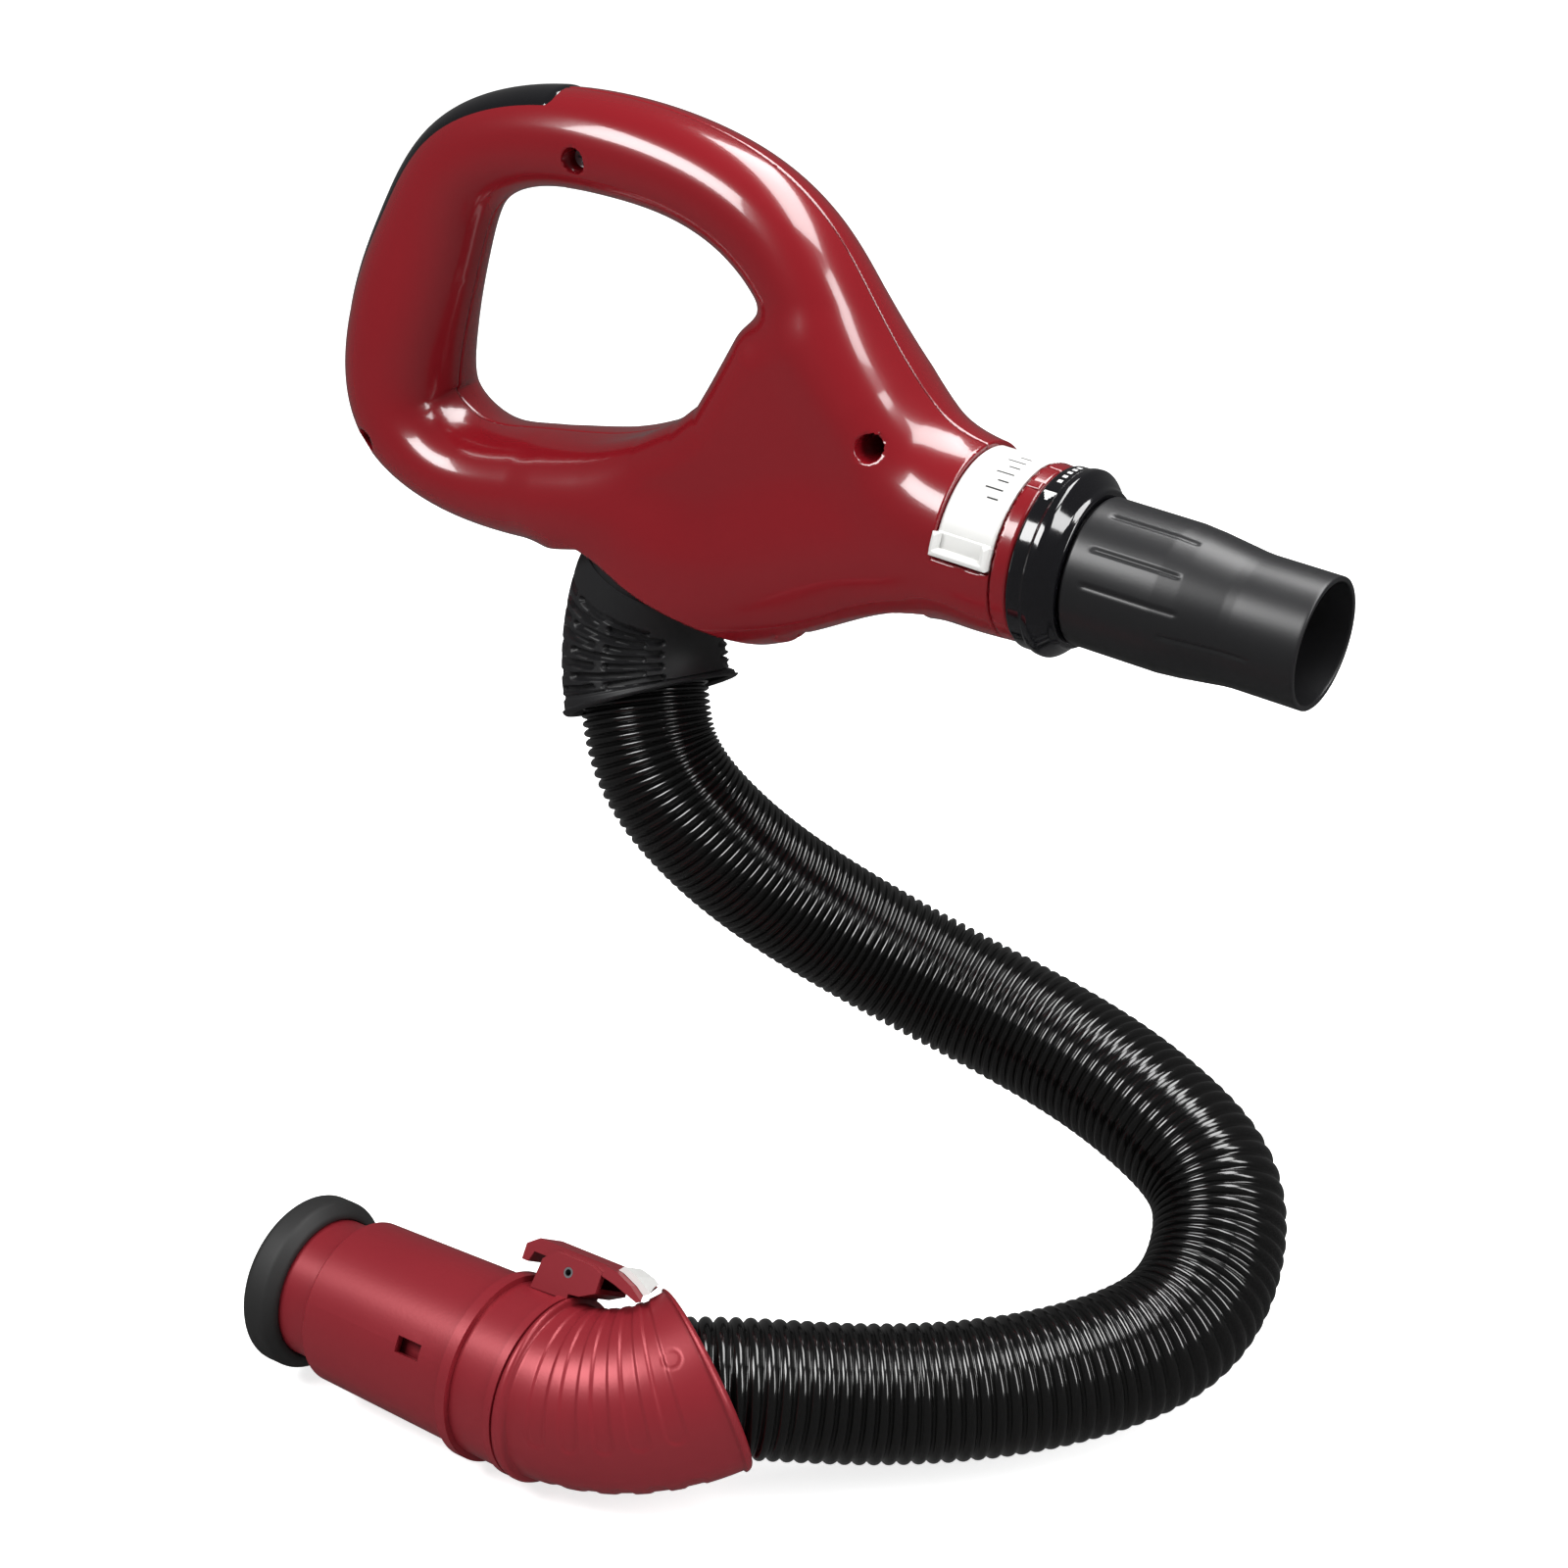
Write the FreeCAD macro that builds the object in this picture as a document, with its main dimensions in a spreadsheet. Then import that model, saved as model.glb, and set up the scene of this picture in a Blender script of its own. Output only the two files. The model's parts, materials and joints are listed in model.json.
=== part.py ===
import FreeCAD, Part

import math
import os
import re

import Sketcher
from FreeCAD import Placement, Rotation, Vector

# Hose and handle of a pet dryer. Row frame: +X along the machine connector, +Z up, origin at the
# centre of the connector seal's end face. The handle has a frame of its own, with its origin on
# the neck's axis, just behind the neck's front end, and +X along the nozzle.

# Driving dimensions, in millimetres and degrees.
DIMENSIONS = {
    "wall": 2.6,
    "running_gap": 0.1,
    "fit_gap": 0.05,
    # machine connector
    "seal_length": 12,
    "seal_radius": 26.5,
    "seal_lip_radius": 18.5,
    "tube_start": 1.5,
    "tube_end": 88,
    "tube_radius": 21.4,
    "tube_bore": 18,
    "sleeve_start": 24,
    "sleeve_radius": 25.2,
    "sleeve_taper": 1.3,
    "flange_start": 80,
    "flange_length": 3.5,
    "flange_radius": 28.5,
    "collar_radius": 26.6,
    "collar_bore": 23.9,
    "collar_end": 99.8,
    "bead_length": 2.6,
    "bead_height": 1.1,
    "lip_bore": 22.6,
    # elbow at the connector
    "elbow_start": 100.4,
    "elbow_bend_radius": 46.4,
    "elbow_angle": 58,
    "elbow_roll": 20,
    "elbow_radius": 25.8,
    "elbow_mouth_radius": 27.8,
    "bell_wall": 2,
    "rim_thickness": 1.3,
    # latch on the swivel collar
    "latch_roll": 32,
    "latch_pivot_along": 98,
    "latch_pivot_height": 33.6,
    "latch_width": 11.4,
    "latch_full_width": 16,
    "latch_travel": 6,
    "pin_radius": 1.55,
    "pin_bore": 1,
    # hose
    "hose_radius": 20.2,
    "hose_bore": 16.5,
    "hose_gap": 6,
    "cuff_radius": 22.9,
    "cuff_length": 8,
    # handle placement
    "handle_along": 157.4,
    "handle_side": 151.5,
    "handle_height": 225.6,
    "handle_yaw": 2.9,
    "handle_pitch": 5.2,
    # hose port under the handle
    "port_back": 126.5,
    "port_drop": 50.4,
    "port_tilt": 16.5,
    "port_radius": 23.6,
    "relief_roll": 17.6,
    "relief_bend_radius": 40,
    "relief_angle": 54,
    "relief_neck": 20.4,
    "relief_radius": 26.2,
    "relief_mouth_radius": 28.4,
    "relief_rim": 2.4,
    # neck, nozzle and controls
    "neck_radius": 26,
    "duct_radius": 19.5,
    "duct_bore": 16.8,
    "neck_end": 8.7,
    "spigot_end": 34.7,
    "control_length": 13.6,
    "control_radius": 27,
    "nozzle_start": 22.8,
    "nozzle_step": 50,
    "nozzle_end": 94,
    "nozzle_base_radius": 21.8,
    "nozzle_tip_radius": 19.3,
    "nozzle_tip_length": 24,
    "nozzle_bore": 17.4,
    "slider_back": -15.5,
    "slider_front": 2.5,
    "slider_radius": 26.4,
    "slider_thickness": 1.5,
    "slider_low": 16,
    "slider_high": 108,
    "slider_travel": 30,
    "loop_radius": 16.6,
    "trim_half_width": 11,
    "trim_thickness": 2.2,
    "screw_radius": 1.45,
    "screw_head_radius": 2.9,
    "boss_radius": 6,
    "boss_bore": 4.2,
}

# Centre line of the hose from the lower cuff to the upper cuff, in the row frame.
HOSE_POINTS = [
    (107, 0.6, 0.2),
    (140, 20.5, 5),
    (171, 48.5, 0),
    (200, 77, -2),
    (221, 106, -1),
    (232, 132, 4),
    (231, 152, 12),
    (220, 171, 26),
    (198, 180, 36),
    (153, 187, 46.5),
    (110, 180, 60),
    (76, 160, 83),
    (50, 139, 113),
    (35.6, 134, 134),
    (26.4, 139.2, 156.3),
]
# Where the hose bends as a chain of hinges: fractions of its length.
HOSE_HINGES = (0.1, 0.3, 0.5, 0.68, 0.86)

# Centre line of the handle's loop in the handle frame; both of its ends lie inside the body.
LOOP_POINTS = [
    (-50, 12),
    (-64, 38),
    (-84, 64),
    (-112, 80),
    (-150, 83),
    (-188, 79),
    (-215, 62),
    (-228, 33),
    (-231, 3),
    (-222, -23),
    (-196, -33),
    (-160, -30),
    (-122, -22),
]
# Body from the neck to the hose port: centre, tilt of the section, half height and half width.
BODY_SECTIONS = [
    (8.7, 0, 0, 26, 26),
    (-12, 0.2, 1, 26.8, 26.2),
    (-26, 1, 3, 30, 26.6),
    (-52, 5, 12, 40, 27.3),
    (-82, -8, 34, 47, 27.6),
    (-108, -27, 58, 35, 27.2),
    (-126.5, -50.4, 73.5, 26, 26),
]
# Air duct inside the body: centre and tilt of each section.
DUCT_SECTIONS = [
    (-10, 0, 0),
    (-40, -1, 0),
    (-68, -6, 14),
    (-92, -17, 36),
    (-109, -31, 58),
    (-119.5, -44, 73.5),
]
# Screws of the handle: place in the handle frame and outer surface of the shell there.
SCREW_PLACES = [(-154, 81.5, 15.5), (-226, -25, 13), (-42, 27, 16)]
# Places of the bleed vents along the neck, under the slider.
VENT_PLACES = (-11, -7, -3)


def make_sheet(doc):
    """The spreadsheet that drives the model: one named cell for each dimension."""
    sheet = doc.addObject("Spreadsheet::Sheet", "Dim")
    for row, (name, value) in enumerate(DIMENSIONS.items(), start=1):
        sheet.set(f"A{row}", name)
        sheet.set(f"B{row}", str(value))
        sheet.setAlias(f"B{row}", name)
    doc.recompute()
    return sheet


def bound(text):
    """An expression on the sheet: every word in the text is one of its cells."""
    return re.sub(r"[a-z][a-z_]*", lambda word: "Dim." + word.group(), str(text))


def size(text):
    """The value of an expression on the sheet."""
    value = SHEET.evalExpression(bound(text))
    return float(getattr(value, "Value", value))


def direction(tilt):
    """Unit vector in the mid-plane of a section's path, tilted down from -X."""
    angle = math.radians(tilt)
    return Vector(-math.cos(angle), 0, -math.sin(angle))


# ---------------------------------------------------------------- ways of making a sub-part

def origin_plane(body, role):
    return next(f for f in body.Origin.OriginFeatures if f.Role == role)


def outline(body, name, corners, role="XZ_Plane"):
    """A closed sketch on a plane of the body, each corner bound to the sheet."""
    sketch = body.newObject("Sketcher::SketchObject", name)
    sketch.AttachmentSupport = (origin_plane(body, role), [""])
    sketch.MapMode = "FlatFace"
    points = [Vector(size(across), size(up), 0) for across, up in corners]
    for start, end in zip(points, points[1:] + points[:1]):
        sketch.addGeometry(Part.LineSegment(start, end))
    for line in range(len(points)):
        follower = (line + 1) % len(points)
        sketch.addConstraint(Sketcher.Constraint("Coincident", line, 2, follower, 1))
    for line, (across, up) in enumerate(corners):
        for kind, text, value in (("DistanceX", across, points[line].x), ("DistanceY", up, points[line].y)):
            index = sketch.addConstraint(Sketcher.Constraint(kind, -1, 1, line, 1, value))
            sketch.setExpression(f"Constraints[{index}]", bound(text))
    return sketch


def turned(label, corners, place=None):
    """A body of revolution about its X axis, from corners given as (along, radius)."""
    body = DOC.addObject("PartDesign::Body", label)
    sketch = outline(body, label + "_profile", corners)
    turn = body.newObject("PartDesign::Revolution", label + "_turn")
    turn.Profile = sketch
    turn.ReferenceAxis = (sketch, ["H_Axis"])
    turn.Angle = 360
    sketch.Visibility = False
    body.Label = label
    body.Placement = place or Placement()
    return body


def add_pad(body, name, corners, width):
    """A plate across the body's XZ plane, equally to both sides."""
    sketch = outline(body, name + "_profile", corners)
    pad = body.newObject("PartDesign::Pad", name)
    pad.Profile = sketch
    pad.SideType = "Symmetric"
    pad.setExpression("Length", bound(width))
    return pad


def add_slot(body, name, corners, width):
    """A cut through the body's XZ plane, equally to both sides."""
    sketch = outline(body, name + "_profile", corners)
    slot = body.newObject("PartDesign::Pocket", name)
    slot.Profile = sketch
    slot.SideType = "Symmetric"
    slot.setExpression("Length", bound(width))
    return slot


def shaped(label, shape, place=None):
    """A sub-part whose shape is made from surfaces that sketches don't describe."""
    feature = DOC.addObject("Part::Feature", label)
    feature.Shape = shape
    feature.Label = label
    feature.Placement = place or Placement()
    return feature


def oval(centre, along, half_height, half_width):
    """An elliptical section across the direction, upright in the mid-plane."""
    side = Vector(0, 1, 0)
    up = along.cross(side).normalize() * half_height
    out = side * half_width
    stretch = FreeCAD.Matrix(up.x, out.x, along.x, centre.x, up.y, out.y, along.y, centre.y,
                             up.z, out.z, along.z, centre.z, 0, 0, 0, 1)
    unit_circle = Part.Circle(Vector(), Vector(0, 0, 1), 1).toBSpline().toShape()
    return Part.Wire([unit_circle.transformGeometry(stretch).Edges[0]])


def ring_sector(inner, outer, back, front, low, high):
    """Part of a ring about the X axis, between two angles counted from -Y up over the top."""
    def slice_of(radius):
        block = Part.makeCylinder(radius, front - back, Vector(0, 0, 0), Vector(0, 0, 1), high - low)
        block.rotate(Vector(), Vector(0, 0, 1), 180 - high)
        block.rotate(Vector(), Vector(0, 1, 0), 90)
        block.rotate(Vector(), Vector(1, 0, 0), 90)
        block.translate(Vector(back, 0, 0))
        return block
    return slice_of(outer).cut(slice_of(inner))


# ---------------------------------------------------------------- machine connector

def inlet_tube():
    return turned("inlet_tube", [
        ("tube_start", "tube_bore"), ("tube_start", "tube_radius"),
        ("tube_end", "tube_radius"), ("tube_end", "tube_bore")])


def inlet_seal():
    return turned("inlet_seal", [
        (0, "seal_lip_radius"), (0, "seal_radius - 2"), (2, "seal_radius"),
        ("seal_length - 3", "seal_radius"), ("seal_length", "seal_radius - 3.5"),
        ("seal_length", "tube_radius + fit_gap"),
        ("tube_start - fit_gap", "tube_radius + fit_gap"), ("tube_start - fit_gap", "seal_lip_radius")])


def connector_sleeve():
    bore = "tube_radius + fit_gap"
    body = turned("connector_sleeve", [
        ("sleeve_start", bore), ("sleeve_start", "sleeve_radius - 1"),
        ("sleeve_start + 1", "sleeve_radius"),
        ("flange_start - fit_gap", "sleeve_radius + sleeve_taper"),
        ("flange_start - fit_gap", "collar_bore"), ("sleeve_start + 4", "collar_bore - 1"),
        ("sleeve_start + 4", bore)])
    body.Placement = Placement(Vector(), Rotation(Vector(1, 0, 0), 62))
    add_slot(body, "window", [
        (61, "collar_bore - 2"), (70, "collar_bore - 2"), (70, "flange_radius"), (61, "flange_radius")], 5)
    add_pad(body, "catch_plate", [
        (38, "-sleeve_radius - 3.2"), (60, "-sleeve_radius - 3.6"), (66, "-sleeve_radius"),
        (66, "-sleeve_radius + 1"), (36, "-sleeve_radius + 1"), (36, "-sleeve_radius - 1")], 9)
    add_slot(body, "catch_slit", [
        (44, "-sleeve_radius - 1.8"), (61, "-sleeve_radius - 1.8"),
        (61, "-sleeve_radius - 0.4"), (44, "-sleeve_radius - 0.4")], 20)
    return body


def swivel_collar():
    """Flange and collar that the elbow turns in, with the base and two cheeks of the latch."""
    body = turned("swivel_collar", [
        ("flange_start", "tube_radius + fit_gap"), ("flange_start", "flange_radius"),
        ("flange_start + flange_length", "flange_radius"),
        ("flange_start + flange_length", "collar_radius"),
        ("collar_end - bead_length", "collar_radius + 0.3"),
        ("collar_end - bead_length", "collar_radius + bead_height"),
        ("collar_end", "collar_radius + bead_height"), ("collar_end", "lip_bore"),
        ("collar_end - 2", "lip_bore"), ("collar_end - 2", "collar_bore"),
        ("flange_start + 6", "collar_bore"), ("flange_start + 6", "tube_radius + fit_gap")])
    body.Placement = LATCH_PLACE
    height = "latch_pivot_height"
    add_pad(body, "latch_cheeks", [
        (87, "collar_radius - 1"), (100.2, "collar_radius - 0.4"), (100.2, "collar_radius + 1.3"),
        (104, "collar_radius + 1.8"), (109, "collar_radius + 4.4"),
        (109, f"{height} + 3"), (105, f"{height} + 4.4"), (92, f"{height} + 4.4"), (88, f"{height} + 1")],
        "latch_full_width")
    add_slot(body, "latch_gap", [
        (86, "collar_radius + 2.4"), (99.5, "collar_radius + 2.4"), (104, "collar_radius + 4.9"),
        (110, "collar_radius + 6"), (110, "latch_pivot_height + 9"), (86, "latch_pivot_height + 9")],
        "latch_width + 0.4")
    add_round_hole(body, "pin_hole", "pin_radius + fit_gap")
    return body


def add_round_hole(body, name, radius):
    """The latch pin's hole through the body, across its mid-plane."""
    sketch = body.newObject("Sketcher::SketchObject", name + "_profile")
    sketch.AttachmentSupport = (origin_plane(body, "XZ_Plane"), [""])
    sketch.MapMode = "FlatFace"
    centre = Vector(size("latch_pivot_along"), size("latch_pivot_height"), 0)
    sketch.addGeometry(Part.Circle(centre, Vector(0, 0, 1), size(radius)))
    for kind, text, value in (("DistanceX", "latch_pivot_along", centre.x),
                              ("DistanceY", "latch_pivot_height", centre.y)):
        index = sketch.addConstraint(Sketcher.Constraint(kind, -1, 1, 0, 3, value))
        sketch.setExpression(f"Constraints[{index}]", bound(text))
    index = sketch.addConstraint(Sketcher.Constraint("Radius", 0, size(radius)))
    sketch.setExpression(f"Constraints[{index}]", bound(radius))
    hole = body.newObject("PartDesign::Pocket", name)
    hole.Profile = sketch
    hole.SideType = "Symmetric"
    hole.Length = 40
    return hole


def elbow_room():
    """Space of the elbow under the latch at rest and pressed, in the latch's frame."""
    bend, angle, mouth = size("elbow_bend_radius"), size("elbow_angle"), size("elbow_mouth_radius")
    centre, along = bend_frame(bend, angle)
    rim_centre = mouth - size("bell_wall - rim_thickness")
    rim = Part.makeTorus(rim_centre, size("rim_thickness") + 0.5, centre, along)
    room = bell(bend, angle, size("elbow_radius") + 0.5, mouth + 0.5).fuse(rim)
    room.Placement = LATCH_PLACE.inverse().multiply(ELBOW_PLACE)
    pressed = room.copy()
    pivot = Vector(size("latch_pivot_along"), 0, size("latch_pivot_height"))
    pressed.rotate(pivot, Vector(0, 1, 0), -size("latch_travel"))
    return [room, pressed]


def latch_lever():
    """Rocker with a hook over the flange at one end and a thumb paddle over the elbow at the other."""
    body = DOC.addObject("PartDesign::Body", "latch_rocker")
    add_pad(body, "rocker", [
        (79.5, 31.8), (79.5, 36.6), (83.5, 39.4), (109.4, 39.6), (109.4, 36.4), (104, 33.6),
        (99.5, 31.2), (95, 31.2), (91, 35.2), (83, 35.2), (81.8, 31.8)], "latch_width")
    add_pad(body, "paddle", [
        (109.4, 36.4), (109.4, 39.6), (114, 39), (119.5, 37), (125.5, 33.4), (125, 32.6),
        (120, 34), (114, 35.6)], "latch_full_width")
    add_round_hole(body, "pin_hole", "pin_radius + fit_gap")
    DOC.recompute()
    return shaped("latch_lever", biggest(body.Shape.cut(elbow_room())), LATCH_PLACE)


def latch_pad():
    """Crowned pad on the paddle, where the thumb presses."""
    body = DOC.addObject("PartDesign::Body", "latch_pad_block")
    add_pad(body, "pad", [
        (112, 39.4), (113.5, 40.9), (118.5, 39.8), (123.5, 37.2), (127, 33.6), (126.1, 33.2),
        (119.6, 37.1), (114.1, 39.1)], "latch_width - 2")
    DOC.recompute()
    return shaped("latch_pad", biggest(body.Shape.cut(elbow_room())), LATCH_PLACE)


def latch_pin():
    """Rolled steel pin, a tube across the latch."""
    half = size("latch_full_width") / 2
    start = Vector(size("latch_pivot_along"), -half, size("latch_pivot_height"))
    tube = Part.makeCylinder(size("pin_radius"), 2 * half, start, Vector(0, 1, 0))
    bore = Part.makeCylinder(size("pin_bore"), 2 * half, start, Vector(0, 1, 0))
    return shaped("latch_pin", tube.cut(bore), LATCH_PLACE)


def latch_spring():
    """Compression coil between the collar and the hook end of the rocker."""
    coil = Part.makeHelix(1.6, 4.6, 2)
    start = coil.Vertexes[0].Point
    ring = Part.Wire([Part.Circle(start, Vector(0, 1, 0), 0.35).toShape()])
    spring = Part.Wire(coil.Edges).makePipeShell([ring], True, True)
    seat = Placement(Vector(87.6, 0, size("collar_radius") + 2.9), Rotation())
    return shaped("latch_spring", spring, LATCH_PLACE.multiply(seat))


# ---------------------------------------------------------------- bell elbows and hose

def bend_frame(radius, angle):
    """Centre and direction at an angle along a bend that starts at the origin along X, towards Y."""
    turn = math.radians(angle)
    centre = Vector(radius * math.sin(turn), radius * (1 - math.cos(turn)), 0)
    return centre, Vector(math.cos(turn), math.sin(turn), 0)


def bell(bend_radius, angle, start_radius, mouth_radius, steps=6):
    """Solid bend that flares towards its mouth."""
    rings = []
    for step in range(steps + 1):
        part = step / steps
        centre, along = bend_frame(bend_radius, angle * part)
        radius = start_radius + (mouth_radius - start_radius) * part ** 1.6
        rings.append(Part.Wire([Part.Circle(centre, along, radius).toShape()]))
    return Part.makeLoft(rings, True, False)


def bell_shell(bend_radius, angle, start_radius, mouth_radius):
    """Thin-walled bell with a rolled rim."""
    wall = size("bell_wall")
    outside = bell(bend_radius, angle, start_radius, mouth_radius)
    inside = bell(bend_radius, angle, start_radius - wall, mouth_radius - wall)
    centre, along = bend_frame(bend_radius, angle)
    rim = Part.makeTorus(mouth_radius - wall + size("rim_thickness"), size("rim_thickness"), centre, along)
    return outside.cut(inside).fuse(rim).cut(inside)


def elbow_bell():
    """Elbow at the connector: a bead around its start and a flared mouth for the hose."""
    shell = bell_shell(size("elbow_bend_radius"), size("elbow_angle"),
                       size("elbow_radius"), size("elbow_mouth_radius"))
    bead_radius = size("collar_radius + bead_height - 0.3")
    bead = Part.makeCylinder(bead_radius, 2.8, Vector(), Vector(1, 0, 0))
    bore = Part.makeCylinder(size("elbow_radius - bell_wall"), 2.8, Vector(), Vector(1, 0, 0))
    return shaped("elbow_bell", shell.fuse(bead.cut(bore)).removeSplitter(), ELBOW_PLACE)


def swivel_ring():
    """Retaining ring fixed in the elbow, whose shoulder turns inside the collar."""
    return turned("swivel_ring", [
        ("tube_end + 2", "tube_radius - 1.6"), ("tube_end + 2", "collar_bore - running_gap"),
        ("collar_end - 2 - running_gap", "collar_bore - running_gap"),
        ("collar_end - 2 - running_gap", "lip_bore - running_gap"),
        ("elbow_start", "lip_bore - running_gap"), ("elbow_start", "elbow_radius - bell_wall - 0.3"),
        ("elbow_start + 4", "elbow_radius - bell_wall - 0.3"), ("elbow_start + 4", "tube_radius - 1.6")])


def hose_edge():
    """Centre line of the hose as one smooth curve."""
    curve = Part.BSplineCurve()
    curve.interpolate([Vector(*point) for point in HOSE_POINTS])
    return curve.toShape()


def hose_bar(first, last, radius):
    """Round bar along the hose between two lengths."""
    line = hose_edge()
    begin, end = line.getParameterByLength(first), line.getParameterByLength(last)
    path = Part.Wire([line.Curve.toShape(begin, end)])
    ring = Part.Wire([Part.Circle(line.valueAt(begin), line.tangentAt(begin), radius).toShape()])
    return path.makePipeShell([ring], True, False)


def cuff_place(place, bend_radius, reach):
    """Cross-section of an elbow, some way along its bend."""
    centre, along = bend_frame(bend_radius, math.degrees(reach / bend_radius))
    return place.multiply(Placement(centre, Rotation(Vector(1, 0, 0), along)))


def hose_cuff(label, radius, place):
    """Threaded ring in an elbow that the hose's end is glued to."""
    return turned(label, [
        (0, "hose_bore"), (0, radius), ("cuff_length", radius), ("cuff_length", "hose_bore")], place)


def beyond(place):
    """Space behind the face of a cuff that the hose's end meets."""
    block = Part.makeCylinder(2 * size("hose_radius"), 60, Vector(size("cuff_length + fit_gap") - 60, 0, 0),
                              Vector(1, 0, 0))
    block.Placement = place
    return block


def hose_sections(ends_at):
    """Tubes along the centre line, one between each two hinges, with room for the hinges to turn."""
    length = hose_edge().Length
    half_gap = size("hose_gap") / 2
    starts = [0] + [hinge * length + half_gap for hinge in HOSE_HINGES]
    ends = [hinge * length - half_gap for hinge in HOSE_HINGES] + [length]
    sections = []
    for number, (first, last) in enumerate(zip(starts, ends), start=1):
        tube = hose_bar(first, last, size("hose_radius")).cut(hose_bar(first, last, size("hose_bore")))
        if number in (1, len(starts)):
            tube = biggest(tube.cut([beyond(place) for place in ends_at]))
        sections.append(shaped(f"hose_section_{number}", tube))
    return sections


def bend_bar(radius):
    """Round bar of one radius along the bend of the strain relief."""
    disc = Part.Face(Part.Wire([Part.Circle(Vector(), Vector(1, 0, 0), radius).toShape()]))
    return disc.revolve(Vector(0, size("relief_bend_radius"), 0), Vector(0, 0, 1), size("relief_angle"))


def strain_relief():
    """Slotted elbow that turns in the hose port, with a neck and a retaining lip inside the handle."""
    bend, angle = size("relief_bend_radius"), size("relief_angle")
    radius, neck_radius = size("relief_radius"), size("relief_neck")
    along = Vector(1, 0, 0)
    centre, out = bend_frame(bend, angle)
    rim = Part.makeCylinder(size("relief_mouth_radius"), size("relief_rim"), centre, out)
    neck = Part.makeCylinder(neck_radius, 14, Vector(-13, 0, 0), along)
    lip = Part.makeCylinder(neck_radius + 1.6, 2, Vector(-15, 0, 0), along)
    whole = bend_bar(radius).cut(Part.makeCylinder(radius + 1, 0.6, Vector(), along))
    whole = whole.fuse([rim, neck, lip])
    inside = radius - size("bell_wall - 0.5")
    whole = whole.cut(bend_bar(inside).cut(Part.makeCylinder(radius + 1, 2.6, Vector(), along)))
    whole = whole.cut(Part.makeCylinder(inside, 10, centre, out))
    whole = whole.cut(Part.makeCylinder(size("hose_bore + 1.6"), 20, Vector(-16, 0, 0), along))
    for number in range(1, 8):
        slot = Part.makeBox(17, 1.5, 70, Vector(bend - 14 if number % 2 else bend - 3, -0.75, -35))
        slot.rotate(Vector(), Vector(0, 0, 1), -90 + angle * (number + 0.4) / 8)
        slot.translate(Vector(0, bend, 0))
        whole = whole.cut(slot)
    return shaped("strain_relief", whole.removeSplitter(), RELIEF_PLACE)


# ---------------------------------------------------------------- handle

def body_solid(inset):
    """Elbow-shaped body from the neck to the port, smaller all round by the inset."""
    return Part.makeLoft(
        [oval(Vector(x, 0, z), direction(tilt), high - inset, wide - inset)
         for x, z, tilt, high, wide in BODY_SECTIONS], True, False, False, 3)


def loop_solid(radius):
    """Round bar along the loop of the grip."""
    curve = Part.BSplineCurve()
    curve.interpolate([Vector(x, 0, z) for x, z in LOOP_POINTS])
    line = curve.toShape()
    start = line.FirstParameter
    ring = Part.Wire([Part.Circle(line.valueAt(start), line.tangentAt(start), radius).toShape()])
    return Part.Wire([line]).makePipeShell([ring], True, False)


def trim_zone(clearance):
    """Space of the trim along the back and the top of the loop, as seen from the side."""
    corners = [(-262, -4), (-262, 112), (-168, 112), (-171, 94), (-190, 85), (-213, 70), (-226, 45),
               (-232, 22), (-236, -4)]
    points = [Vector(x, 0, z) for x, z in corners]
    half = size("trim_half_width") + clearance
    face = Part.Face(Part.makePolygon(points + points[:1]))
    zone = face.extrude(Vector(0, 2 * half, 0))
    zone.translate(Vector(0, -half, 0))
    return zone


def handle_outside():
    """Outer form of the two shells together."""
    return body_solid(0).fuse(loop_solid(size("loop_radius")))


def vent_slots(inner, outer):
    """Slots that let air out of the neck once the slider uncovers them."""
    low, high = size("slider_low") + 3, size("slider_low + slider_travel") - 3
    return [ring_sector(inner, outer, x - 1.2, x + 1.2, low, high) for x in VENT_PLACES]


def handle_shells():
    """Two shells split on the mid-plane, with screw bosses, the port, and a seat for each fitting."""
    wall = size("wall")
    outside = handle_outside()
    cavity = body_solid(wall).fuse(loop_solid(size("loop_radius - wall")))
    shell = outside.cut(cavity)
    bosses, bores = screw_bosses(outside)
    shell = shell.fuse(bosses)
    back, front = size("slider_back") - 0.3, size("slider_front") + 0.3
    seat = ring_sector(size("slider_radius - slider_thickness") - 0.1, size("neck_radius") + 8, back, front,
                       size("slider_low") - 4, size("slider_high + slider_travel") + 2)
    vents = vent_slots(size("duct_radius"), size("neck_radius") + 2)
    trim_seat = loop_solid(size("loop_radius") + 1).cut(loop_solid(size("loop_radius - trim_thickness")))
    trim_seat = trim_seat.common(trim_zone(0.15))
    along = Vector(1, 0, 0)
    port = Part.makeCylinder(size("port_radius"), 32, Vector(-17.8, 0, 0), along)
    port = port.fuse(Part.makeCylinder(size("relief_radius") + 0.4, 14, Vector(-0.2, 0, 0), along))
    port.Placement = PORT_LOCAL
    neck = Part.makeCylinder(size("duct_radius + fit_gap"), size("neck_end") + 11, Vector(-10, 0, 0), along)
    shell = shell.cut([seat, trim_seat, port, neck] + vents + bores)
    index = Part.makeBox(4.4, 3.4, 1.2, Vector(size("neck_end") - 5, -1.7, size("neck_radius") - 0.4))
    index.rotate(Vector(), Vector(1, 0, 0), 20)
    shell = shell.fuse(index)
    near = Part.makeBox(400, 60, 300, Vector(-300, -60, -120))
    far = Part.makeBox(400, 60, 300, Vector(-300, 0, -120))
    return [shaped("handle_shell_right", biggest(shell.common(near)), HANDLE_PLACE),
            shaped("handle_shell_left", biggest(shell.common(far)), HANDLE_PLACE)]


def biggest(shape):
    """The one solid that matters, without slivers that a cut leaves."""
    return max(shape.Solids, key=lambda solid: solid.Volume)


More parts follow.
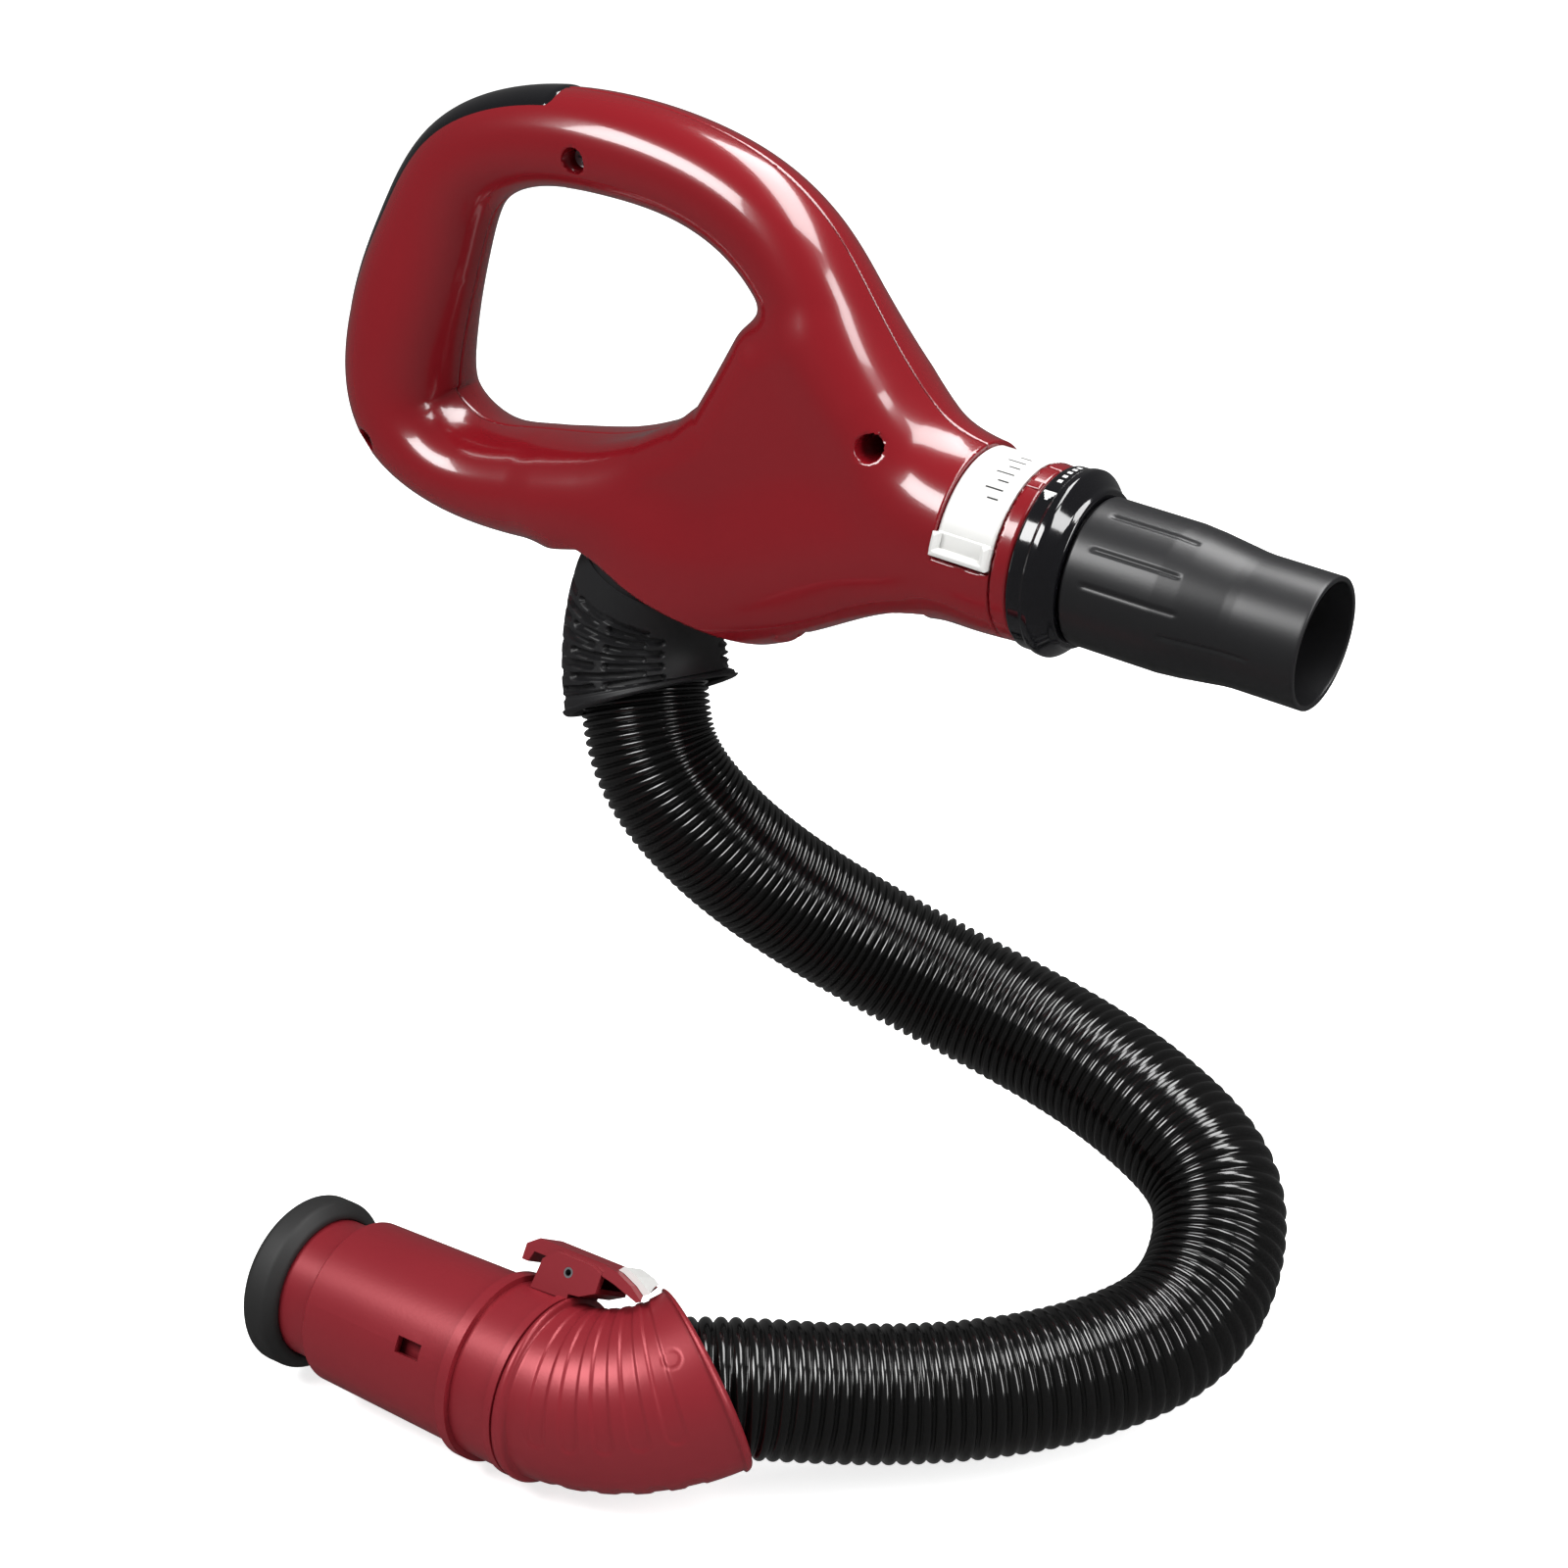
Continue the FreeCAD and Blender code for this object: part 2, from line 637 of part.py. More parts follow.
def screw_bosses(outside):
    """Posts across the shells for the screws, and the holes through them."""
    bosses, bores = [], []
    across = Vector(0, 1, 0)
    for x, z, surface in SCREW_PLACES:
        post = Part.makeCylinder(size("boss_radius"), 2 * surface + 8, Vector(x, -surface - 4, z), across)
        bosses.append(post.common(outside))
        head_seat = -surface + 7
        bores.append(Part.makeCylinder(size("boss_bore"), 30, Vector(x, head_seat - 30, z), across))
        screw_bore = size("screw_radius + fit_gap")
        bores.append(Part.makeCylinder(screw_bore, 22, Vector(x, head_seat - 1, z), across))
    return bosses, bores


def handle_screws():
    """Pan-head screws that hold the shells together."""
    across = Vector(0, 1, 0)
    screws = []
    for x, z, surface in SCREW_PLACES:
        seat = -surface + 7
        head = Part.makeCylinder(size("screw_head_radius"), 2.2, Vector(x, seat - 2.2, z), across)
        cross = [Part.makeBox(3.4, 1.3, 0.8, Vector(x - 1.7, seat - 2.3, z - 0.4)),
                 Part.makeBox(0.8, 1.3, 3.4, Vector(x - 0.4, seat - 2.3, z - 1.7))]
        shank = Part.makeCylinder(size("screw_radius"), 16, Vector(x, seat, z), across)
        screws.append(head.fuse(shank).cut(cross))
    return shaped("handle_screws", Part.makeCompound(screws), HANDLE_PLACE)


def handle_trim():
    """Gloss cover set into the back and the top of the loop."""
    proud = loop_solid(size("loop_radius") + 0.5).cut(loop_solid(size("loop_radius - trim_thickness") + 0.15))
    return shaped("handle_trim", biggest(proud.common(trim_zone(0))), HANDLE_PLACE)


def air_duct():
    """Duct from the port to the spigot in the neck, with a groove for the nozzle seal and vent slots."""
    def along_duct(radius):
        return Part.makeLoft([oval(Vector(x, 0, z), direction(tilt), radius, radius)
                              for x, z, tilt in DUCT_SECTIONS], True, False)
    outer, inner, reach = size("duct_radius"), size("duct_bore"), size("spigot_end")
    forward = Vector(1, 0, 0)
    below = Part.makeCylinder(2 * outer, 60, Vector(-17.6, 0, 0), forward)
    below.Placement = PORT_LOCAL
    duct = along_duct(outer).fuse(Part.makeCylinder(outer, reach + 10, Vector(-10, 0, 0), forward))
    duct = duct.cut([along_duct(inner), Part.makeCylinder(inner, reach + 20, Vector(-10, 0, 0), forward)])
    groove = Part.makeTorus(outer, 1.05, Vector(reach - 6, 0, 0), forward)
    vents = vent_slots(inner - 3, outer + 1)
    return shaped("air_duct", duct.cut([groove, below] + vents), HANDLE_PLACE)


def nozzle_seal():
    """O-ring in the spigot's groove."""
    groove = Vector(size("spigot_end") - 6, 0, 0)
    ring = Part.makeTorus(size("duct_radius") - 0.2, 0.8, groove, Vector(1, 0, 0))
    return shaped("nozzle_seal", ring, HANDLE_PLACE)


def nozzle_tube():
    """Blowing nozzle: a straight base, a taper and a straight tip that takes slip-on tools."""
    return turned("nozzle_tube", [
        ("nozzle_start", "duct_radius + 0.7"), ("nozzle_start", "nozzle_base_radius - 0.6"),
        ("nozzle_start + 0.6", "nozzle_base_radius"), ("nozzle_step", "nozzle_base_radius"),
        ("nozzle_end - nozzle_tip_length", "nozzle_tip_radius"), ("nozzle_end", "nozzle_tip_radius"),
        ("nozzle_end", "nozzle_bore"), ("spigot_end + 2", "nozzle_bore"),
        ("spigot_end + 1", "duct_radius + 0.7")], HANDLE_PLACE)


def control_collar():
    """Turning ring between the neck and the nozzle, with a grip rim in front."""
    bore = "duct_radius + running_gap"
    return turned("control_collar", [
        ("neck_end + 0.2", bore), ("neck_end + 0.2", "control_radius - 0.8"),
        ("neck_end + 1", "control_radius"), ("neck_end + 9.2", "control_radius"),
        ("neck_end + 9.8", "control_radius + 0.7"),
        ("neck_end + control_length - 1.4", "control_radius + 0.7"),
        ("neck_end + control_length", "control_radius - 0.9"), ("neck_end + control_length", bore)],
        HANDLE_PLACE)


def bleed_slider():
    """Curved slider over the vent slots, with a raised thumb lip at its lower end."""
    outer = size("slider_radius")
    inner = outer - size("slider_thickness")
    back, front = size("slider_back"), size("slider_front")
    low, high = size("slider_low"), size("slider_high")
    strip = ring_sector(inner, outer, back, front, low, high)
    lip = ring_sector(outer - 0.3, outer + 3.4, back, front, low, low + 11)
    hollow = ring_sector(outer + 0.4, outer + 4, back + 2, front - 2, low + 2.5, low + 12)
    return shaped("bleed_slider", strip.fuse(lip.cut(hollow)).removeSplitter(), HANDLE_PLACE)


def port_ring():
    """Bush in the port that the strain relief's neck turns in."""
    return turned("port_ring", [
        (-12.8, "relief_neck + running_gap"), (-12.8, "port_radius - fit_gap"),
        (0, "port_radius - fit_gap"), (0, "relief_neck + running_gap")], HANDLE_PLACE.multiply(PORT_LOCAL))


def duct_seal():
    """Gasket between the duct and the strain relief's neck."""
    return turned("duct_seal", [
        (-17.4, "duct_bore + 1"), (-17.4, "port_radius - 1"), (-15.2, "port_radius - 1"),
        (-15.2, "duct_bore + 1")], HANDLE_PLACE.multiply(PORT_LOCAL))


# ---------------------------------------------------------------- placements and the whole part

DOC = FreeCAD.newDocument("pet_dryer_hose")
SHEET = make_sheet(DOC)

LATCH_PLACE = Placement(Vector(), Rotation(Vector(1, 0, 0), -size("latch_roll")))
ELBOW_PLACE = Placement(Vector(size("elbow_start"), 0, 0), Rotation(Vector(1, 0, 0), size("elbow_roll")))
HANDLE_PLACE = Placement(
    Vector(size("handle_along"), size("handle_side"), size("handle_height")),
    Rotation(size("handle_yaw"), size("handle_pitch"), 0))
PORT_LOCAL = Placement(
    Vector(-size("port_back"), 0, -size("port_drop")),
    Rotation(Vector(0, 1, 0), 90 + size("port_tilt")))
RELIEF_TURN = Rotation(Vector(1, 0, 0), 90 + size("relief_roll"))
RELIEF_PLACE = HANDLE_PLACE.multiply(PORT_LOCAL).multiply(Placement(Vector(), RELIEF_TURN))


def build():
    lower_place = cuff_place(ELBOW_PLACE, size("elbow_bend_radius"), 8.5)
    upper_place = cuff_place(RELIEF_PLACE, size("relief_bend_radius"), 21)
    nodes = [
        inlet_tube(), inlet_seal(), connector_sleeve(), swivel_collar(), latch_lever(), latch_pad(),
        latch_pin(), latch_spring(), elbow_bell(), swivel_ring(), strain_relief(),
        hose_cuff("lower_hose_cuff", "cuff_radius", lower_place),
        hose_cuff("upper_hose_cuff", "cuff_radius + 0.4", upper_place),
        port_ring(), duct_seal(), air_duct(), nozzle_seal(), nozzle_tube(), control_collar(),
        bleed_slider(), handle_trim(), handle_screws()]
    nodes += hose_sections([lower_place, upper_place])
    nodes += handle_shells()
    return nodes


def check(nodes):
    """Stops on a failed object or a broken shape, before anything is written."""
    DOC.recompute()
    for item in DOC.Objects:
        if "Invalid" in item.State or "Error" in item.State:
            raise RuntimeError(f"{item.Name} failed: {item.State}")
    for node in nodes:
        if node.Shape.isNull() or not node.Shape.isValid() or not node.Shape.Solids:
            raise RuntimeError(f"{node.Label} has no valid shape")


def write(nodes):
    os.makedirs("parts", exist_ok=True)
    for node in nodes:
        node.Shape.exportStep(f"parts/{node.Label}.step")


NODES = build()
check(NODES)
write(NODES)
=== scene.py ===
"""Looks of the pet dryer's handle, hose and connector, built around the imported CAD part.

Shapes are worked out in millimetres in the row frame and written to meshes in metres.
"""

import json
import math

import bpy
import numpy as np
from mathutils import Matrix, Vector


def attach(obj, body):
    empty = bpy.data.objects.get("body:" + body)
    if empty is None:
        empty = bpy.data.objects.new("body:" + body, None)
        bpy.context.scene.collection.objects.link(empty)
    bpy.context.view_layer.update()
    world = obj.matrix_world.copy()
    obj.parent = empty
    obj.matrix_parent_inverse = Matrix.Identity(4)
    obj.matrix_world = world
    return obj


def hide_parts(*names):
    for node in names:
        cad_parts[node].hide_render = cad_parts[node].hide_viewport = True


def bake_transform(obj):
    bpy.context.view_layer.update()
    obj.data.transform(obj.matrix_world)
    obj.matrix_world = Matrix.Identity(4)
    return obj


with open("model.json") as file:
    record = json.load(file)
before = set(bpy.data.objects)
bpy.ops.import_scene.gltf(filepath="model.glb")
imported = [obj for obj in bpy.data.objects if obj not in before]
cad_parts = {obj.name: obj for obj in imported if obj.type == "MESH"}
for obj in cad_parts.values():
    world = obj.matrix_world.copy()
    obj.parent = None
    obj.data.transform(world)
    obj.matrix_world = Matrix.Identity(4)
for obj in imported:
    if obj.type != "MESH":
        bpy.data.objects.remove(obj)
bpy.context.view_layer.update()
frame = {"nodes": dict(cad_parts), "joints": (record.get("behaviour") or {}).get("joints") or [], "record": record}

MM = 0.001
ELBOW_BEND = 46.4      # bend radius of the red elbow's centre line
RELIEF_BEND = 43       # bend radius of the strain relief's centre line
HOSE_VALLEY = 18.5     # outer radius of the hose between two rings
HOSE_RING = 1.75       # how far a ring stands above the valley
HOSE_BORE = 16.8       # inner radius of the hose
TUBE_BORE, TUBE_OUTER, TUBE_END = 18, 21.4, 88
NECK_FRONT = 8.5       # end plane of the handle's neck
SEAT_FLOOR = 24.9      # radius of the groove that the slider runs in
SEAT_MIDDLE, SEAT_HALF = -6.5, 9.3
SEAT_LOW, SEAT_HIGH = 2, 142
GRIP_TRIM_HALF = 11.3  # half width of the recess for the gloss cover
SCREW_HOLE = 4.0
FLOOR_LEVEL = -29.3

# ---------------------------------------------------------------- placements


def turn(axis, degrees):
    """Placement that turns about one axis through the origin."""
    return np.array(Matrix.Rotation(math.radians(degrees), 4, axis))


def shift(x, y, z):
    """Placement that moves without turning."""
    return np.array(Matrix.Translation((x, y, z)))


def placed(place, points):
    """Points of any array shape, moved by a 4 x 4 placement."""
    return points @ place[:3, :3].T + place[:3, 3]


CONNECTOR = np.eye(4)
ELBOW = shift(100.4, 0, 0) @ turn("X", 20)
HANDLE = shift(157.4, 151.5, 225.6) @ turn("Z", 2.9) @ turn("Y", 5.2)
PORT = HANDLE @ shift(-126.5, 0, -50.4) @ turn("Y", 106.5)
RELIEF = PORT @ turn("X", 107.6)

# ---------------------------------------------------------------- materials


def material(name, color, rough, grain=0.1, grain_size=900, bump=0.02, metallic=0.0, coat=0.0):
    """Plastic, rubber or metal with a fine grain in its roughness and its surface."""
    mat = bpy.data.materials.new(name)
    mat.use_nodes = True
    nodes, links = mat.node_tree.nodes, mat.node_tree.links
    shader = nodes["Principled BSDF"]
    shader.inputs["Metallic"].default_value = metallic
    shader.inputs["Coat Weight"].default_value = coat
    shader.inputs["Coat Roughness"].default_value = 0.06
    place = nodes.new("ShaderNodeTexCoord")
    fine = nodes.new("ShaderNodeTexNoise")
    fine.inputs["Scale"].default_value = grain_size
    fine.inputs["Detail"].default_value = 3
    wide = nodes.new("ShaderNodeTexNoise")
    wide.inputs["Scale"].default_value = 14
    wide.inputs["Detail"].default_value = 4
    spread = nodes.new("ShaderNodeMapRange")
    spread.inputs["To Min"].default_value = rough * (1 - grain)
    spread.inputs["To Max"].default_value = rough * (1 + grain)
    tone = nodes.new("ShaderNodeMix")
    tone.data_type = "RGBA"
    tone.inputs["A"].default_value = [c * 0.9 for c in color] + [1]
    tone.inputs["B"].default_value = [min(c * 1.1, 1) for c in color] + [1]
    relief = nodes.new("ShaderNodeBump")
    relief.inputs["Strength"].default_value = bump
    relief.inputs["Distance"].default_value = 0.0004
    for noise in (fine, wide):
        links.new(place.outputs["Object"], noise.inputs["Vector"])
    links.new(wide.outputs["Fac"], spread.inputs["Value"])
    links.new(spread.outputs["Result"], shader.inputs["Roughness"])
    links.new(wide.outputs["Fac"], tone.inputs["Factor"])
    links.new(tone.outputs["Result"], shader.inputs["Base Color"])
    links.new(fine.outputs["Fac"], relief.inputs["Height"])
    links.new(relief.outputs["Normal"], shader.inputs["Normal"])
    return mat


FINISH = {
    "shell_red": material("shell_red", (0.17, 0.0045, 0.0085), 0.22, coat=0.7),
    "connector_red": material("connector_red", (0.24, 0.016, 0.024), 0.36, metallic=0.3, bump=0.05),
    "gloss_black": material("gloss_black", (0.004, 0.004, 0.005), 0.1, coat=0.6),
    "hose_black": material("hose_black", (0.003, 0.003, 0.003), 0.16, coat=0.3),
    "matte_black": material("matte_black", (0.008, 0.008, 0.009), 0.5, bump=0.06),
    "seal_rubber": material("seal_rubber", (0.012, 0.012, 0.012), 0.62, bump=0.1),
    "white_plastic": material("white_plastic", (0.6, 0.6, 0.585), 0.34),
    "steel": material("steel", (0.5, 0.5, 0.52), 0.3, metallic=1.0),
}
SATIN_BLACK = material("satin_black", (0.010, 0.010, 0.011), 0.36, bump=0.03)
MARK_WHITE = material("mark_white", (0.62, 0.62, 0.62), 0.5)

# ---------------------------------------------------------------- meshes


def mesh_object(name, points, faces, finish, crease=None):
    """A smooth mesh from points in mm; edges sharper than the crease angle stay sharp."""
    mesh = bpy.data.meshes.new(name)
    mesh.from_pydata((np.asarray(points) * MM).tolist(), [], [list(f) for f in faces])
    mesh.validate()
    mesh.update()
    mesh.polygons.foreach_set("use_smooth", [True] * len(mesh.polygons))
    if crease:
        mesh.set_sharp_from_angle(angle=math.radians(crease))
    mesh.materials.append(finish)
    made = bpy.data.objects.new(name, mesh)
    bpy.context.scene.collection.objects.link(made)
    return made


def grid_faces(rows, columns, wrap_rows=False, wrap_columns=True):
    """Quads of a grid of points stored row by row."""
    r = np.arange(rows if wrap_rows else rows - 1)
    c = np.arange(columns if wrap_columns else columns - 1)
    r, c = [a.ravel() for a in np.meshgrid(r, c, indexing="ij")]
    r2, c2 = (r + 1) % rows, (c + 1) % columns
    return np.stack([r * columns + c, r * columns + c2, r2 * columns + c2, r2 * columns + c], 1)


def finished(made, body, slot, *nodes):
    """Attaches a piece to its body and hides the CAD nodes it stands for; the slot argument is not used."""
    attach(made, body)
    if nodes:
        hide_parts(*nodes)
    return made


def softened(profile, radius=0.5, steps=4):
    """A closed profile of (along, radius) corners with every corner rounded."""
    points = np.array(profile, float)
    rounded = []
    for before, corner, after in zip(np.roll(points, 1, 0), points, np.roll(points, -1, 0)):
        back, ahead = before - corner, after - corner
        lengths = np.linalg.norm(back), np.linalg.norm(ahead)
        reach = min(radius, lengths[0] * 0.45, lengths[1] * 0.45)
        start, end = corner + back / lengths[0] * reach, corner + ahead / lengths[1] * reach
        for t in np.linspace(0, 1, steps):
            rounded.append((1 - t) ** 2 * start + 2 * t * (1 - t) * corner + t ** 2 * end)
    return np.array(rounded)


def dense(profile, step):
    """The same closed profile with points no farther apart than the step."""
    points = []
    for here, there in zip(profile, np.roll(profile, -1, 0)):
        count = max(int(np.linalg.norm(there - here) / step), 1)
        points += [here + (there - here) * k / count for k in range(count)]
    return np.array(points)


def lathe(name, profile, place, finish, radius=0.5, around=128, step=8.0, dent=None):
    """A turned piece about X; dent(along, angle, radius) says how far its surface is pushed in."""
    outline = dense(softened(profile, radius), step)
    angle = np.linspace(0, 2 * math.pi, around, endpoint=False)
    along = np.repeat(outline[:, :1], around, 1)
    reach = np.repeat(outline[:, 1:], around, 1)
    angles = np.repeat(angle[None, :], len(outline), 0)
    if dent:
        reach = reach - dent(along, angles, reach)
    points = np.stack([along, -np.cos(angles) * reach, np.sin(angles) * reach], -1)
    faces = grid_faces(len(outline), around, wrap_rows=True)
    return mesh_object(name, placed(place, points).reshape(-1, 3), faces, finish, crease=50)


def step_in(value, low, high, soft):
    """1 between low and high, 0 outside, with soft edges."""
    rise = np.clip((value - low) / soft + 0.5, 0, 1)
    fall = np.clip((high - value) / soft + 0.5, 0, 1)
    both = rise * fall
    return both * both * (3 - 2 * both)


# ---------------------------------------------------------------- bends


def bend_points(place, bend_radius, profile, around, shape=None):
    """A profile of (degrees, radius) swept round the bend; below 0 degrees it runs straight."""
    along = np.radians(profile[:, 0])[:, None]
    theta = np.linspace(0, 2 * math.pi, around, endpoint=False)[None, :]
    reach = np.repeat(profile[:, 1:], around, 1)
    if shape:
        reach = reach + shape(np.degrees(along), np.degrees(theta), reach)
    bent = np.maximum(along, 0)
    lead = np.minimum(along, 0) * bend_radius
    x = bend_radius * np.sin(bent) + lead - reach * np.cos(theta) * np.sin(bent)
    y = bend_radius * (1 - np.cos(bent)) + reach * np.cos(theta) * np.cos(bent)
    z = reach * np.sin(theta)
    return placed(place, np.stack([x, y, z], -1)).reshape(-1, 3)


def bell_profile(bend_radius, angle, start, mouth, wall, rim, step):
    """Outside of a flared elbow from its start to its rim, round the rim, and back inside."""
    turns = np.arange(0, angle, step)
    outside = [(t, start + (mouth - start) * (t / angle) ** 1.6) for t in turns]
    middle = mouth - wall / 2
    arc = [(angle + math.degrees(rim * math.sin(a) / bend_radius), middle + (rim + 0.3) * math.cos(a))
           for a in np.linspace(0.0, math.pi, 14)]
    inside = [(t, start - wall + (mouth - start) * (t / angle) ** 1.6) for t in np.arange(angle - 2, 4, -3)]
    return np.array(outside + arc + inside + [(3, start - wall)])


def elbow_dents(along, theta, reach):
    """Fans of shallow bands from the inside of the bend to its outer side, and a small mould mark."""
    side = np.where(theta > 180, 360 - theta, theta)
    deep = np.zeros(np.broadcast(along, theta).shape)
    across = ELBOW_BEND - reach * np.cos(np.radians(theta))
    for centre in (11.5, 20, 28.5, 37, 45.5):
        offset = np.radians(along - centre) * across
        half = np.radians(2.3) * across
        past = np.clip((side - 156) * 0.45, 0, 99)
        distance = np.sqrt(offset ** 2 + past ** 2) - half
        deep = np.maximum(deep, np.clip(0.5 - distance / 0.45, 0, 1))
    mark = np.sqrt((np.radians(along - 50) * across) ** 2 + ((theta - 112) * 0.46) ** 2)
    ring = step_in(mark, 2.4, 2.9, 0.4) * 0.18
    outer = (reach > 24.6) & (along < 55)
    return -(0.42 * deep + ring) * outer


def elbow():
    """The red elbow, with a bead at the end that turns on the connector."""
    profile = bell_profile(ELBOW_BEND, 58, 25.8, 27.8, 2, 1.5, 0.45)
    bead = [(-0.2, 23.9), (-0.2, 27.0), (0.1, 27.6), (0.7, 27.9), (1.5, 27.9), (2.2, 27.6), (2.6, 27.0),
            (2.8, 26.1), (3.1, 25.85)]
    profile = np.vstack([bead, profile[profile[:, 0].argmin() + 8:]])
    around = 300
    points = bend_points(ELBOW, ELBOW_BEND, profile, around, elbow_dents)
    return mesh_object("elbow_shell", points, grid_faces(len(profile), around, wrap_rows=True),
                       FINISH["connector_red"], crease=60)


def relief_dents(along, theta, reach):
    """Rows of slots that fan out from the inside of the bend, and a groove along its outer band."""
    side = np.where(theta > 180, 360 - theta, theta)
    deep = np.zeros(np.broadcast(along, theta).shape)
    across = RELIEF_BEND - reach * np.cos(np.radians(theta))
    for row in range(8):
        centre = 5.5 + 5.1 * row
        spans = [(28, 66), (78, 128)] if row % 2 else [(40, 98), (108, 134)]
        for low, high in spans:
            offset = np.abs(np.radians(along - centre) * across)
            past = np.maximum(np.maximum(low - side, side - high), 0) * 0.44
            distance = np.sqrt(offset ** 2 + past ** 2)
            deep = np.maximum(deep, np.clip((1.25 - distance) / 0.4, 0, 1))
    groove = step_in(side, 141, 144.5, 1.6) * step_in(along, 3, 43, 1.0)
    bottom = step_in(along, 43.2, 44.6, 0.8) * step_in(side, 0, 144, 1.6)
    outer = reach > 23.4
    return -(2.0 * deep + 0.7 * np.maximum(groove, bottom)) * outer


def strain_relief():
    """The slotted elbow under the handle, with the straight neck that turns in the port."""
    profile = bell_profile(RELIEF_BEND, 48, 24.8, 27.4, 1.6, 1.3, 0.5)
    profile = np.vstack([[(-9.8, 18.4), (-9.8, 24.2)], profile[2:]])
    around = 320
    points = bend_points(RELIEF, RELIEF_BEND, profile, around, relief_dents)
    return mesh_object("relief_shell", points, grid_faces(len(profile), around, wrap_rows=True),
                       FINISH["matte_black"], crease=60)


# ---------------------------------------------------------------- hose

HOSE_POINTS = np.array([
    (107, 0.6, 0.2), (140, 20.5, 5), (171, 48.5, 0), (200, 77, -2), (221, 106, -1), (232, 132, 4),
    (231, 152, 12), (220, 171, 26), (198, 180, 36), (153, 187, 46.5), (110, 180, 60), (76, 160, 83),
    (50, 139, 113), (35.6, 134, 134), (26.4, 139.2, 156.3)], float)


def natural_spline(knots, values, at):
    """Smooth curve through the values, with straight ends."""
    gaps = np.diff(knots)
    size = len(knots)
    system, right = np.eye(size), np.zeros((size, values.shape[1]))
    for i in range(1, size - 1):
        system[i, i - 1:i + 2] = gaps[i - 1], 2 * (gaps[i - 1] + gaps[i]), gaps[i]
        right[i] = 6 * ((values[i + 1] - values[i]) / gaps[i] - (values[i] - values[i - 1]) / gaps[i - 1])
    bends = np.linalg.solve(system, right)
    k = np.clip(np.searchsorted(knots, at) - 1, 0, size - 2)
    h = gaps[k][:, None]
    a, b = (knots[k + 1] - at)[:, None] / h, (at - knots[k])[:, None] / h
    return (a * values[k] + b * values[k + 1]
            + ((a ** 3 - a) * bends[k] + (b ** 3 - b) * bends[k + 1]) * h ** 2 / 6)


def arc_length(points):
    """Distance along a line of points, at each of them."""
    return np.concatenate([[0], np.cumsum(np.linalg.norm(np.diff(points, axis=0), axis=1))])


def hose_line(count=3000):
    """Points along the hose's centre line at even distances, and those distances."""
    knots = arc_length(HOSE_POINTS)
    rough = natural_spline(knots, HOSE_POINTS, np.linspace(0, knots[-1], count))
    length = arc_length(rough)
    even = np.linspace(0, length[-1], count)
    return np.stack([np.interp(even, length, rough[:, i]) for i in range(3)], 1), even


def sweep_frames(points):
    """Two unit vectors across the line at each point, carried along without twist."""
    tangent = np.gradient(points, axis=0)
    tangent /= np.linalg.norm(tangent, axis=1)[:, None]
    side = np.cross(tangent[0], (0, 0, 1))
    sides = []
    for t in tangent:
        side = side - t * (side @ t)
        side /= np.linalg.norm(side)
        sides.append(side)
    sides = np.array(sides)
    return sides, np.cross(tangent, sides)


def hose():
    """Corrugated hose in five lengths, each in place of one hose section of the CAD part."""
    line, distance = hose_line()
    total = distance[-1]
    pitch = np.interp(distance / total, [0, 0.3, 0.5, 0.7, 0.88, 1], [4.1, 4.1, 3.9, 3.3, 2.7, 2.3])
    rings = np.concatenate([[0], np.cumsum(np.diff(distance) / pitch[1:])])
    per_ring, around = 9, 96
    count = int(rings[-1] * per_ring)
    phase = np.arange(count) / per_ring
    where = np.interp(phase, rings, distance)
    centre = np.stack([np.interp(where, distance, line[:, i]) for i in range(3)], 1)
    sides, ups = sweep_frames(centre)
    wave = 1 - np.abs(2 * (phase % 1) - 1) ** 2.4
    radius = HOSE_VALLEY + HOSE_RING * wave
    angle = np.linspace(0, 2 * math.pi, around, endpoint=False)
    circle = (np.cos(angle)[None, :, None] * sides[:, None] + np.sin(angle)[None, :, None] * ups[:, None])
    points = centre[:, None] + radius[:, None, None] * circle
    inner = centre[:, None] + HOSE_BORE * circle
    cuts = [0, 0.2, 0.4, 0.59, 0.77, 1]
    hinges = {j["name"]: Vector(j["pos_m"]) for j in frame["joints"] if j["name"].startswith("hose_bend")}
    for number in range(5):
        low, high = [int(np.searchsorted(where, cuts[k] * total)) for k in (number, number + 1)]
        high = min(high + 1, count)
        ring = np.concatenate([points[low:high], inner[low:high][::-1]])
        made = mesh_object(f"hose_length_{number + 1}", ring.reshape(-1, 3),
                           grid_faces(len(ring), around, wrap_rows=True), FINISH["hose_black"])
        hinge = hinges[f"hose_bend_{number + 1}"]
        middle = np.linalg.norm(centre * MM - np.array(hinge), axis=1).argmin()
        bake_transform(made)
        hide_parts(f"hose_section_{number + 1}")
        if number == 4:
            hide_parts("hose_section_6")


# ---------------------------------------------------------------- handle shells

# Sections (x, z, half height, half width) along the grip's bar and along the air channel.
BAR = np.array([
    (-6, 0, 22, 24), (-24, 6.5, 20, 23), (-43, 20, 17, 22), (-58, 35.5, 16, 21), (-72, 52.5, 16, 20),
    (-84, 66, 16, 18.5), (-98, 75.5, 15.6, 17.5), (-118, 82, 15, 17), (-150, 84, 15, 16.5),
    (-183, 78.6, 14.8, 15.5), (-205, 64.5, 16, 15), (-216, 41, 18.5, 16), (-224, 8, 20, 21),
    (-221, -17, 18.5, 23), (-201, -29, 15.6, 24), (-170, -28.5, 17.3, 24.5), (-140, -25, 18, 25),
    (-114, -26, 20, 25)], float)
CHANNEL = np.array([
    (13, 0, 26, 26), (-16, -0.5, 26, 26), (-36, -4, 26.5, 26), (-58, -12, 27.5, 26), (-80, -24, 28, 26),
    (-102, -36, 26, 25.5), (-118, -45, 25, 25.5), (-134, -70, 25, 25.5)], float)
